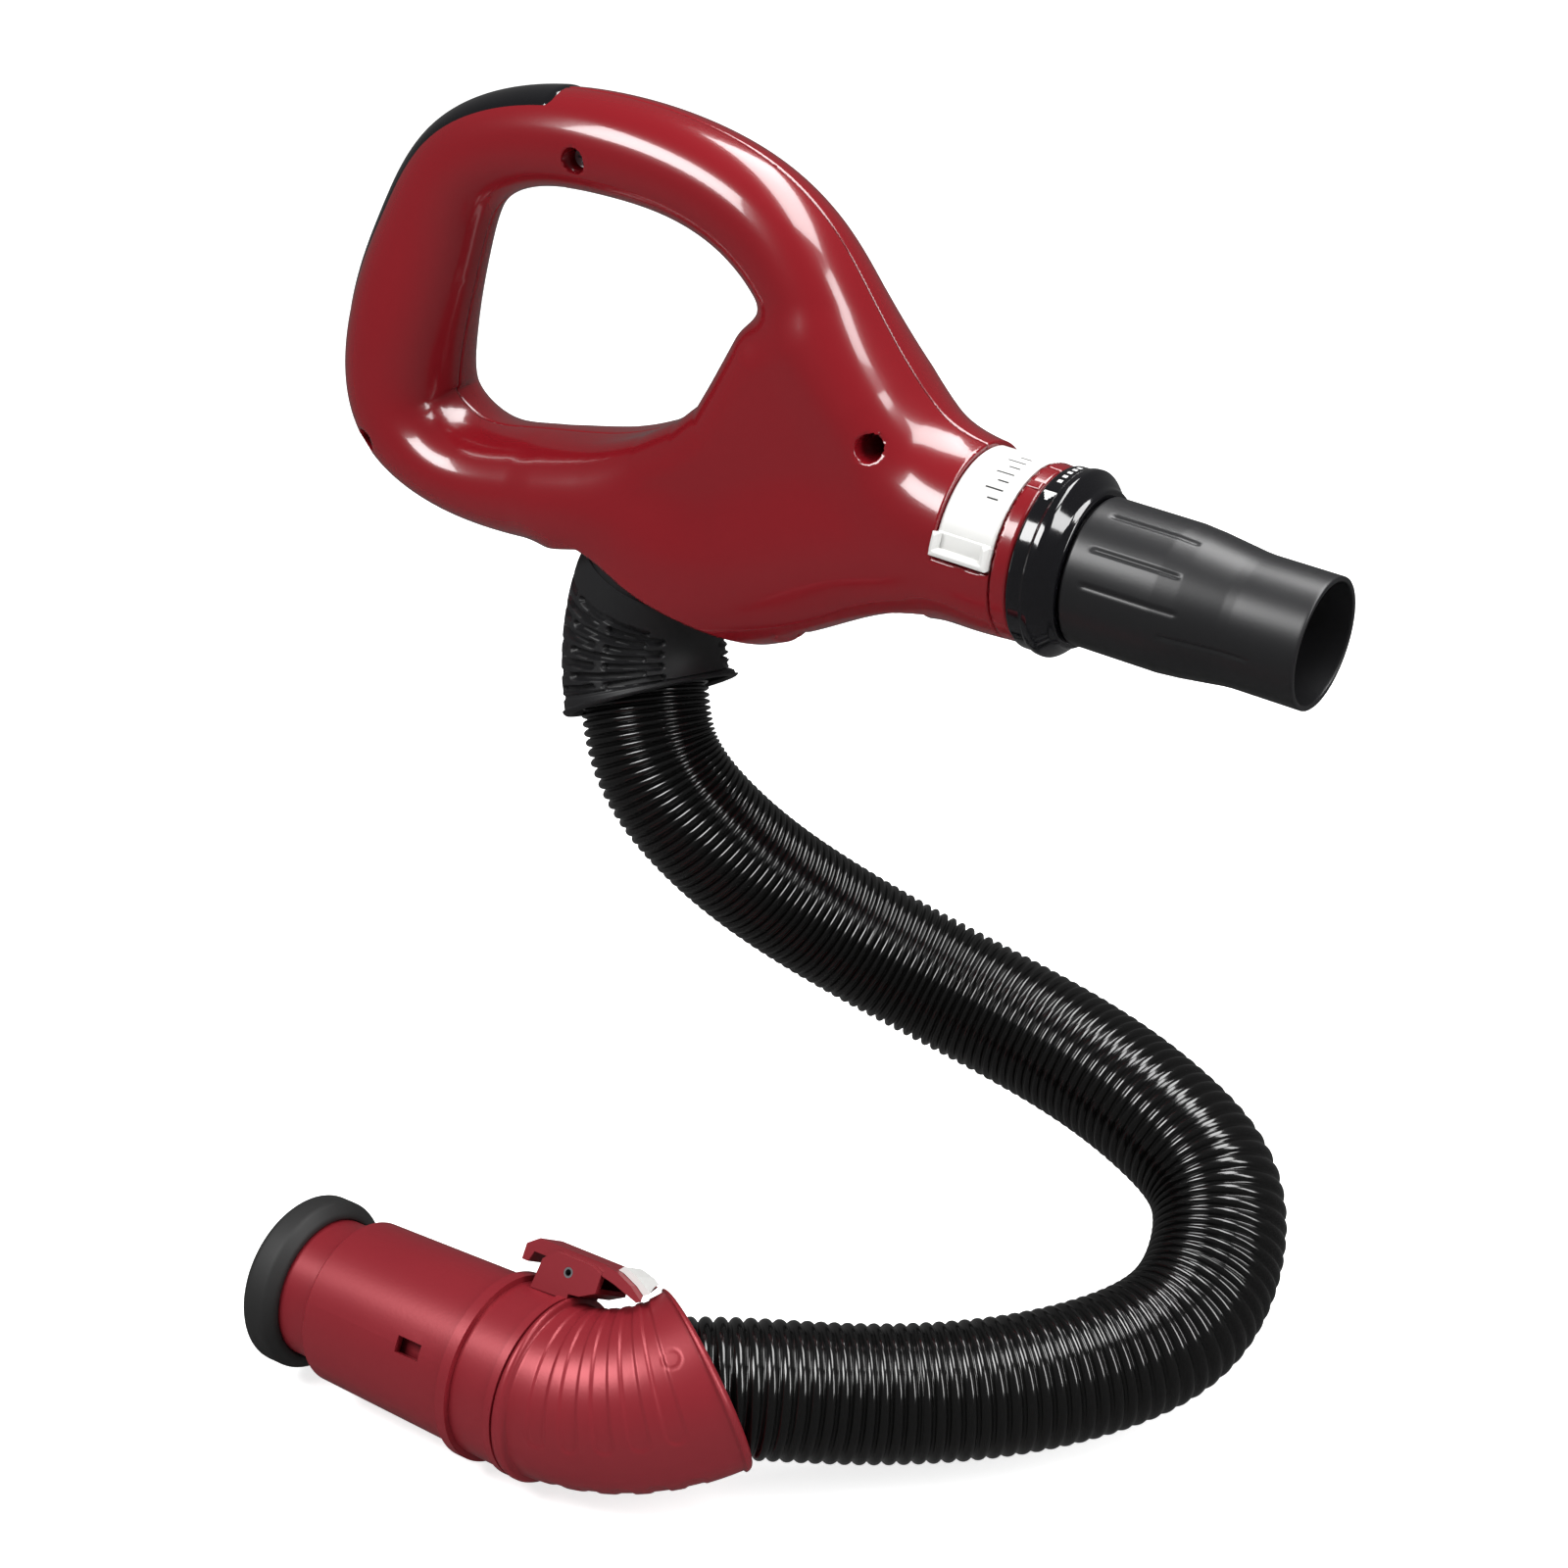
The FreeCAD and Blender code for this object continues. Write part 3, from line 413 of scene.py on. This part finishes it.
WEB = np.array([(-72, 42), (-56, 28), (-42, 10), (-50, -8), (-85, -22), (-120, -28), (-150, -30), (-155, -27),
                (-139, -20), (-121, -11), (-106, -1), (-96, 9), (-90, 21), (-83, 36)], float)
SCREWS = [(-154, 81.5), (-226, -25), (-42, 25)]

# The part of the handle's mid-plane that the maps cover.
MAP_LOW, MAP_STEP = np.array([-262.0, -92.0]), 0.5
MAP_SHAPE = (544, 416)


def map_plane():
    """The maps' own places in the mid-plane, as (x, z)."""
    gx, gz = [MAP_LOW[i] + MAP_STEP * np.arange(MAP_SHAPE[i]) for i in (0, 1)]
    return np.stack(np.meshgrid(gx, gz, indexing="ij"), -1)


def chain_maps(sections):
    """Distance to a chain of sections, and its half height and half width there."""
    knots = arc_length(sections[:, :2])
    fine = natural_spline(knots, sections, np.linspace(0, knots[-1], 360))
    plane = map_plane()
    best = np.full(MAP_SHAPE, 1e9)
    high, wide = np.zeros(MAP_SHAPE), np.zeros(MAP_SHAPE)
    for here, there in zip(fine[:-1], fine[1:]):
        run = there[:2] - here[:2]
        t = np.clip(((plane - here[:2]) @ run) / (run @ run), 0, 1)
        away = np.linalg.norm(plane - here[:2] - t[..., None] * run, axis=-1)
        closer = away < best
        best = np.where(closer, away, best)
        high = np.where(closer, here[2] + t * (there[2] - here[2]), high)
        wide = np.where(closer, here[3] + t * (there[3] - here[3]), wide)
    return best, high, wide


def polygon_map(corners):
    """Map of the signed distance to a polygon in the mid-plane, negative inside."""
    plane = map_plane()
    best = np.full(MAP_SHAPE, 1e9)
    inside = np.zeros(MAP_SHAPE, bool)
    for a, b in zip(corners, np.roll(corners, -1, 0)):
        run = b - a
        t = np.clip(((plane - a) @ run) / (run @ run), 0, 1)
        best = np.minimum(best, np.linalg.norm(plane - a - t[..., None] * run, axis=-1))
        level = (plane[..., 1] < b[1]) != (plane[..., 1] < a[1])
        crossing = a[0] + (plane[..., 1] - a[1]) * run[0] / (run[1] if run[1] else 1e-9)
        inside ^= level & (plane[..., 0] < crossing)
    return np.where(inside, -best, best)


MAPS = np.stack([*chain_maps(BAR), *chain_maps(CHANNEL), polygon_map(WEB)], -1)


def looked_up(x, z):
    """Values of the seven mid-plane maps at any points."""
    u, v = (x - MAP_LOW[0]) / MAP_STEP, (z - MAP_LOW[1]) / MAP_STEP
    i = np.clip(u.astype(int), 0, MAP_SHAPE[0] - 2)
    j = np.clip(v.astype(int), 0, MAP_SHAPE[1] - 2)
    p, q = (u - i)[..., None], (v - j)[..., None]
    values = ((MAPS[i, j] * (1 - p) + MAPS[i + 1, j] * p) * (1 - q)
              + (MAPS[i, j + 1] * (1 - p) + MAPS[i + 1, j + 1] * p) * q)
    return np.moveaxis(values, -1, 0)


def merged(a, b, reach):
    """Smooth union of two fields."""
    h = np.clip(0.5 + 0.5 * (b - a) / reach, 0, 1)
    return b + (a - b) * h - reach * h * (1 - h)


def carved(a, b, reach):
    """What is in a but not in b, with a soft edge."""
    return -merged(-a, b, reach)


def angular(y, z, low, high):
    """Distance outside a sector about the neck's axis, counted from -Y up over the top."""
    low, high = math.radians(low), math.radians(high)
    return np.maximum(-(math.sin(low) * y + math.cos(low) * z), math.sin(high) * y + math.cos(high) * z)


def oval(away, y, high, wide):
    """Rough distance outside an oval of that half height and half width."""
    return (np.sqrt((away / high) ** 2 + (y / wide) ** 2) - 1) * np.minimum(high, wide)


def handle_field(p):
    """Signed distance to the handle's outer form, in the handle's own frame."""
    x, y, z = p[..., 0], p[..., 1], p[..., 2]
    bar_away, bar_high, bar_wide, pipe_away, pipe_high, pipe_wide, web_away = looked_up(x, z)
    bar = oval(bar_away, y, bar_high, bar_wide)
    pipe = oval(pipe_away, y, pipe_high, pipe_wide)
    web = np.hypot(np.maximum(web_away, 0), np.maximum(np.abs(y) - 8.5, 0)) - 14
    form = merged(merged(bar, pipe, 9), web, 7)
    port = (x + 126.5) * -0.284 + (z + 50.4) * -0.959
    under_grip = (x + 151) * -0.351 + (z + 40) * 0.936
    form = carved(form, np.maximum(-(port + 9.5), under_grip), 1.2)
    form = -merged(-form, -(x - NECK_FRONT), 0.8)
    around = np.hypot(y, z)
    seat_ring = np.maximum(SEAT_FLOOR - around, np.abs(x - SEAT_MIDDLE) - SEAT_HALF)
    form = carved(form, np.maximum(seat_ring, angular(y, z, SEAT_LOW, SEAT_HIGH)), 0.5)
    seam = np.maximum(np.abs(x - 3.4) - 0.3, 25.5 - around)
    form = carved(form, seam, 0.3)
    band = trim_band(x, z, bar_high - 2.2 - bar_away)
    form = carved(form, np.maximum(np.maximum(np.abs(y) - GRIP_TRIM_HALF, band), -bar), 0.4)
    for screw_x, screw_z in SCREWS:
        hole = np.maximum(np.hypot(x - screw_x, z - screw_z) - SCREW_HOLE, y + 6)
        form = carved(form, hole, 0.5)
    return belly_marks(form, x, y, z)


def trim_band(x, z, skin):
    """Negative under the outer skin of the grip's back and top, where the gloss cover lies."""
    outward = (x + 172) * -0.62 + (z - 30) * 0.6
    begin = -(z + 3)
    end = (x + 168) + (z - 96) * 0.6
    return np.maximum(np.maximum(skin, begin), np.maximum(end, -outward + 18))


def belly_marks(form, x, y, z):
    """Shallow recess under the channel with a narrow slot at each end."""
    dish = np.maximum(np.maximum(np.abs(x + 48) - 25, np.abs(y) - 14.5), z + 18)
    form = carved(form, np.maximum(dish, -(form + 1.5)), 0.4)
    for where in (-69, -28):
        slot = np.maximum(np.maximum(np.abs(x - where) - 2.5, np.abs(y) - 13.5), z + 18)
        form = carved(form, np.maximum(slot, -(form + 5)), 0.3)
    return form


def surface_net(field, xs, ys, zs):
    """Quads near the zero level of a field on a rectilinear grid."""
    grid = np.stack(np.meshgrid(xs, ys, zs, indexing="ij"), -1)
    values = field(grid)
    inside = values < 0
    shape = np.array(values.shape) - 1
    total = np.zeros((*shape, 3))
    hits = np.zeros(shape)
    corners = [(a, b, c) for a in (0, 1) for b in (0, 1) for c in (0, 1)]

    def part(array, corner):
        return array[tuple(slice(o, o + n) for o, n in zip(corner, shape))]

    for first in corners:
        for axis in range(3):
            if first[axis]:
                continue
            second = tuple(v + (k == axis) for k, v in enumerate(first))
            va, vb = part(values, first), part(values, second)
            crossed = part(inside, first) != part(inside, second)
            t = np.where(crossed, va / np.where(crossed, va - vb, 1), 0)[..., None]
            spot = part(grid, first) * (1 - t) + part(grid, second) * t
            total += spot * crossed[..., None]
            hits += crossed
    used = hits > 0
    index = np.full(tuple(shape), -1)
    index[used] = np.arange(used.sum())
    points = total[used] / hits[used][:, None]
    quads = []
    for axis in range(3):
        b, c = [k for k in range(3) if k != axis]
        low = [slice(None)] * 3
        low[axis] = slice(0, -1)
        high = list(low)
        high[axis] = slice(1, None)
        low[b] = high[b] = slice(1, -1)
        low[c] = high[c] = slice(1, -1)
        enters = inside[tuple(low)] & ~inside[tuple(high)]
        leaves = ~inside[tuple(low)] & inside[tuple(high)]
        for mask, forward in ((enters, axis != 1), (leaves, axis == 1)):
            spots = np.argwhere(mask)
            spots[:, b] += 1
            spots[:, c] += 1
            ring = []
            for db, dc in ((-1, -1), (0, -1), (0, 0), (-1, 0)):
                cell = spots.copy()
                cell[:, b] += db
                cell[:, c] += dc
                ring.append(index[tuple(cell.T)])
            ring = np.stack(ring if forward else ring[::-1], 1)
            quads.append(ring)
    quads = np.concatenate(quads)
    return points, quads[(quads >= 0).all(1)]


def settle_on(field, points, rounds=4):
    """Moves points onto the zero level of the field."""
    for _ in range(rounds):
        value = field(points)
        slope = np.stack([(field(points + d) - field(points - d)) / 0.1 for d in np.eye(3) * 0.05], -1)
        slope /= np.maximum((slope ** 2).sum(-1), 0.25)[:, None]
        points = points - np.clip(value[:, None] * slope, -0.7, 0.7)
    return points


def handle_shell(name, mirror):
    """One half of the handle: its outer skin, turned in along the seam on the mid-plane."""
    coarse = 0.9
    xs = np.concatenate([np.arange(-256, -19, coarse), np.arange(-19, 10, 0.45)])
    zs = np.arange(-82, 104, coarse)
    side = np.concatenate([[-1.0, 0.12, 0.4, 0.8, 1.3, 1.9], np.arange(2.6, 30, 0.8)])

    def outer(p):
        return handle_field(p * (1, mirror, 1))

    def half(p):
        return np.maximum(outer(p), 0.12 - p[..., 1])

    points, quads = surface_net(half, xs, side, zs)
    flat = points[:, 1] < 0.3
    points = settle_on(outer, points)
    points[:, 1] = np.maximum(points[:, 1], 0.1)
    points[flat, 1] = 0.1
    near = np.clip(1 - points[:, 1] / 0.9, 0, 1) ** 2
    slope = np.stack([outer(points + d) - outer(points - d) for d in np.eye(3) * 0.3], -1)
    slope /= np.maximum(np.linalg.norm(slope, axis=1), 1e-6)[:, None]
    depth = outer(points)
    points -= slope * (near * 0.4 * (depth > -0.6))[:, None]
    points = points * (1, mirror, 1)
    quads = quads if mirror > 0 else quads[:, ::-1]
    return mesh_object(name, placed(HANDLE, points), quads, FINISH["shell_red"], crease=55)


# ---------------------------------------------------------------- handle fittings


def trim():
    """Gloss cover along the back and the top of the grip, with rounded edges and a bevelled front end."""
    knots = arc_length(BAR[:, :2])
    fine = natural_spline(knots, BAR, np.linspace(0, knots[-1], 1600))
    run = np.gradient(fine[:, :2], axis=0)
    run /= np.linalg.norm(run, axis=1)[:, None]
    out = np.stack([-run[:, 1], run[:, 0]], 1)
    out *= np.sign((out * (fine[:, :2] - (-165, 30))).sum(1))[:, None]
    start = np.argmax((fine[:, 0] < -150) & (fine[:, 0] + out[:, 0] * 15 < -166))
    end = len(fine) - np.argmax(fine[::-1, 1] > -1)
    chosen = np.linspace(start, end, 150).astype(int)
    across = np.linspace(-1, 1, 40)
    rows = []
    for k, i in enumerate(chosen):
        ends = min(k, len(chosen) - 1 - k)
        drop = 2.4 * max(0, 1 - ends / 5) ** 2
        width = 11.0 - 1.6 * max(0, 1 - ends / 4) ** 2
        y = across * width
        top = fine[i, 2] * np.sqrt(1 - np.clip(np.abs(y) / fine[i, 3], 0, 1) ** 2) + 0.55
        edge = 1.3 * np.abs(across) ** 14
        height = top - edge - drop
        rows.append(np.stack([fine[i, 0] + out[i, 0] * height, y, fine[i, 1] + out[i, 1] * height], 1))
    points = np.array(rows)
    return mesh_object("trim_cover", placed(HANDLE, points).reshape(-1, 3),
                       grid_faces(len(rows), 40, wrap_columns=False), FINISH["gloss_black"], crease=50)


def nozzle_dents(along, angle, reach):
    """Narrow grooves along the nozzle, and a step round the start of its tip."""
    deg = np.degrees(angle)
    deep = np.zeros_like(reach)
    for centre, low, high in ((40, 29, 56), (12, 29, 58), (352, 54, 80), (72, 29, 56), (220, 29, 56),
                              (280, 54, 80)):
        off = np.abs((deg - centre + 180) % 360 - 180)
        deep = np.maximum(deep, step_in(off, -1, 1.5, 0.9) * step_in(along, low, high, 1.5))
    return 0.5 * deep * (reach > 18.6)


def sector(name, inner, outer, back, front, low, high, finish, soft=0.5):
    """A curved strip about the neck's axis with rounded edges."""
    half_x, half_a = (front - back) / 2, math.radians(high - low) / 2
    middle = math.radians(low + high) / 2
    rows, columns = 40, 90
    uu, vv = np.meshgrid(np.linspace(-1, 1, rows), np.linspace(-1, 1, columns), indexing="ij")
    edge = np.minimum((1 - np.abs(uu)) * half_x, (1 - np.abs(vv)) * half_a * outer)
    drop = soft * (1 - np.clip(edge / (soft * 1.6), 0, 1)) ** 2
    layers = []
    for r in (outer - drop, np.full_like(drop, inner)):
        a = middle + vv * half_a
        layers.append(np.stack([(back + front) / 2 + uu * half_x, -np.cos(a) * r, np.sin(a) * r], -1))
    count = rows * columns
    top = grid_faces(rows, columns, wrap_columns=False)
    border = np.concatenate([np.arange(0, columns), np.arange(1, rows) * columns + columns - 1,
                             (rows - 1) * columns + np.arange(columns - 2, -1, -1),
                             np.arange(rows - 2, 0, -1) * columns])
    ring = np.stack([border, np.roll(border, -1), np.roll(border, -1) + count, border + count], 1)
    faces = np.concatenate([top[:, ::-1], top + count, ring])
    points = np.concatenate([layer.reshape(-1, 3) for layer in layers])
    return mesh_object(name, placed(HANDLE, points), faces, finish, crease=40)


def joined(name, *parts):
    """Several meshes made into one piece."""
    bpy.ops.object.select_all(action="DESELECT")
    for part in parts:
        part.select_set(True)
    bpy.context.view_layer.objects.active = parts[0]
    bpy.ops.object.join()
    parts[0].name = name
    return parts[0]


def slider():
    """White slider with a U-shaped thumb lip and plain scale ticks."""
    white = FINISH["white_plastic"]
    parts = [sector("strip", 24.95, 26.3, -15.5, 2.5, 16, 108, white),
             sector("lip_end", 25.6, 29.6, -15.5, 2.5, 5, 10, white, 0.9),
             sector("lip_back", 25.2, 29.4, -15.8, -13.4, 5, 19, white, 0.9),
             sector("lip_front", 25.2, 29.4, 0.3, 2.7, 5, 19, white, 0.9),
             sector("lip_floor", 24.95, 27.0, -15, 2, 8, 20, white, 0.3)]
    ink = FINISH["matte_black"]
    for k in range(7):
        tick_back, tick_low = -5 - 2.2 * (k % 2), 48 + 7 * k
        parts.append(sector(f"tick_{k}", 26.0, 26.36, tick_back, -1.5, tick_low, tick_low + 1.2, ink, 0.05))
    return joined("slider_strip", *parts)


def collar():
    """Black turning ring with a grip rim, a row of dots and an arrow."""
    profile = [(8.7, 20.1), (8.7, 26.4), (9.5, 27), (13.6, 27), (14.2, 27.6), (16.2, 27.7), (17, 27.2),
               (20.4, 23.8), (22.2, 23.2), (22.2, 20.1)]
    ring = lathe("collar_ring", profile, HANDLE, FINISH["gloss_black"], 0.6, 160)
    sunk, raised, middle = 26.8, 27.08, 11.7
    marks = []
    for k in range(5):
        low = 74 + 6 * k
        marks.append(sector(f"dot_{k}", sunk, raised, 11, 12.4, low, low + 2.8, MARK_WHITE, 0.05))
    for k in range(4):
        half, low = 0.5 * (k + 1), 58 + 1.7 * k
        marks.append(sector(f"arrow_{k}", sunk, raised, middle - half, middle + half, low, low + 1.7,
                            MARK_WHITE, 0.02))
    return joined("collar_ring", ring, *marks)


def nozzle():
    """Black nozzle with a narrower tip; finely divided, because its grooves are modelled."""
    profile = [(22.8, 20.2), (22.8, 21.2), (23.4, 21.8), (50, 21.8), (57, 21.2), (70, 19.5), (73, 19.3),
               (94, 19.3), (94, 17.7), (70, 17.6), (36.8, 17.5), (35.8, 20.2)]
    return lathe("nozzle_body", profile, HANDLE, SATIN_BLACK, 0.5, 240, 0.7, nozzle_dents)


def neck_index():
    """Small raised index on the neck's end ring."""
    return sector("neck_index", 25.6, 26.7, 3.6, 8.0, 64, 71, FINISH["shell_red"], 0.4)


# ---------------------------------------------------------------- connector


def connector_pieces():
    """Turned pieces of the connector: the rubber ring and the inner tube."""
    ring = [(0, 18.5), (0, 24.5), (2.2, 26.5), (9, 26.5), (12, 23.4), (12, 21.5), (1.6, 21.5), (1.6, 18.5)]
    seal = lathe("seal_ring", ring, CONNECTOR, FINISH["seal_rubber"], 1.0, 128)
    finished(seal, "connector", "seal_rubber", "inlet_seal")
    start = 1.7
    wall = [(start, TUBE_BORE), (start, TUBE_OUTER), (TUBE_END, TUBE_OUTER), (TUBE_END, TUBE_BORE)]
    tube = lathe("tube_wall", wall, CONNECTOR, FINISH["connector_red"], 0.4, 128)
    finished(tube, "connector", "connector_red", "inlet_tube")


def kept_nodes():
    """Small edge rounding and a finish for every CAD node that is shown as it is."""
    finishes = {row["node"]: row["material_slot"] for row in frame["record"]["subparts"]}
    for name, node in frame["nodes"].items():
        node.data.materials.clear()
        node.data.materials.append(FINISH[finishes[name]])
        if node.hide_render:
            continue
        node.data.polygons.foreach_set("use_smooth", [True] * len(node.data.polygons))
        node.data.set_sharp_from_angle(angle=math.radians(28))
        rounding = node.modifiers.new("rounding", "BEVEL")
        rounding.width = 0.0003
        rounding.segments = 2
        rounding.limit_method = "ANGLE"
        rounding.angle_limit = math.radians(35)
        rounding.harden_normals = True


# ---------------------------------------------------------------- stage


def stage():
    """Pale floor, soft lights and the camera."""
    floor_mesh = bpy.data.meshes.new("floor")
    reach, low = 9, FLOOR_LEVEL * MM
    corners = [(-reach, -reach, low), (reach, -reach, low), (reach, reach, low), (-reach, reach, low)]
    floor_mesh.from_pydata(corners, [], [(0, 1, 2, 3)])
    floor = bpy.data.objects.new("floor", floor_mesh)
    bpy.context.scene.collection.objects.link(floor)
    pale = bpy.data.materials.new("floor_pale")
    pale.use_nodes = True
    shader = pale.node_tree.nodes["Principled BSDF"]
    shader.inputs["Base Color"].default_value = (0.9, 0.9, 0.9, 1)
    shader.inputs["Roughness"].default_value = 0.9
    shader.inputs["Emission Color"].default_value = (1, 1, 1, 1)
    path = pale.node_tree.nodes.new("ShaderNodeLightPath")
    glow = pale.node_tree.nodes.new("ShaderNodeMapRange")
    glow.inputs["To Max"].default_value = 0.73
    pale.node_tree.links.new(path.outputs["Is Camera Ray"], glow.inputs["Value"])
    pale.node_tree.links.new(glow.outputs["Result"], shader.inputs["Emission Strength"])
    floor_mesh.materials.append(pale)
    floor.visible_glossy = False
    world = bpy.data.worlds.new("studio")
    bpy.context.scene.world = world
    world.use_nodes = True
    nodes, links = world.node_tree.nodes, world.node_tree.links
    path, dim = nodes.new("ShaderNodeLightPath"), nodes.new("ShaderNodeMapRange")
    shine = nodes.new("ShaderNodeMapRange")
    dim.inputs["To Min"].default_value = 0.3
    dim.inputs["To Max"].default_value = 1.0
    shine.inputs["To Max"].default_value = 0.1
    links.new(path.outputs["Is Camera Ray"], dim.inputs["Value"])
    links.new(path.outputs["Is Glossy Ray"], shine.inputs["Value"])
    links.new(dim.outputs["Result"], shine.inputs["To Min"])
    nodes["Background"].inputs["Color"].default_value = (1, 1, 1, 1)
    links.new(shine.outputs["Result"], nodes["Background"].inputs["Strength"])
    for name, place, target, width, height, power in (
            ("key", (-0.35, -0.75, 1.15), (0.05, 0.1, 0.2), 0.8, 0.5, 17),
            ("top", (0.3, 0.45, 1.2), (0.05, 0.12, 0.15), 1.1, 0.45, 16),
            ("right", (1.25, 0.15, 0.75), (0.1, 0.1, 0.12), 0.3, 0.9, 9)):
        light = bpy.data.lights.new(name, "AREA")
        light.shape = "RECTANGLE"
        light.size, light.size_y, light.energy = width, height, power
        lamp = bpy.data.objects.new(name, light)
        lamp.location = place
        lamp.rotation_mode = "QUATERNION"
        lamp.rotation_quaternion = (Vector(target) - Vector(place)).to_track_quat("-Z", "Y")
        bpy.context.scene.collection.objects.link(lamp)
    camera = bpy.data.objects.new("camera", bpy.data.cameras.new("camera"))
    camera.data.lens, camera.data.sensor_width = 76.5, 36
    a, e = math.radians(36.3), math.radians(24.6)
    back = Vector((math.sin(a) * math.cos(e), -math.cos(a) * math.cos(e), math.sin(e)))
    camera.rotation_mode = "QUATERNION"
    camera.rotation_quaternion = (-back).to_track_quat("-Z", "Y")
    camera.location = (0.6298, -0.6080, 0.5600)
    bpy.context.scene.collection.objects.link(camera)
    bpy.context.scene.camera = camera
    bpy.context.scene.view_settings.view_transform = "Standard"


finished(handle_shell("shell_right", -1), "handle", "shell_red", "handle_shell_right")
finished(handle_shell("shell_left", 1), "handle", "shell_red", "handle_shell_left")
finished(neck_index(), "handle", "shell_red")
finished(trim(), "handle", "gloss_black", "handle_trim")
finished(nozzle(), "handle", "matte_black", "nozzle_tube")
finished(collar(), "control_collar", "gloss_black", "control_collar")
finished(slider(), "slider", "white_plastic", "bleed_slider")
finished(strain_relief(), "upper_cuff", "matte_black", "strain_relief")
finished(elbow(), "elbow", "connector_red", "elbow_bell")
hose()
connector_pieces()
kept_nodes()
stage()
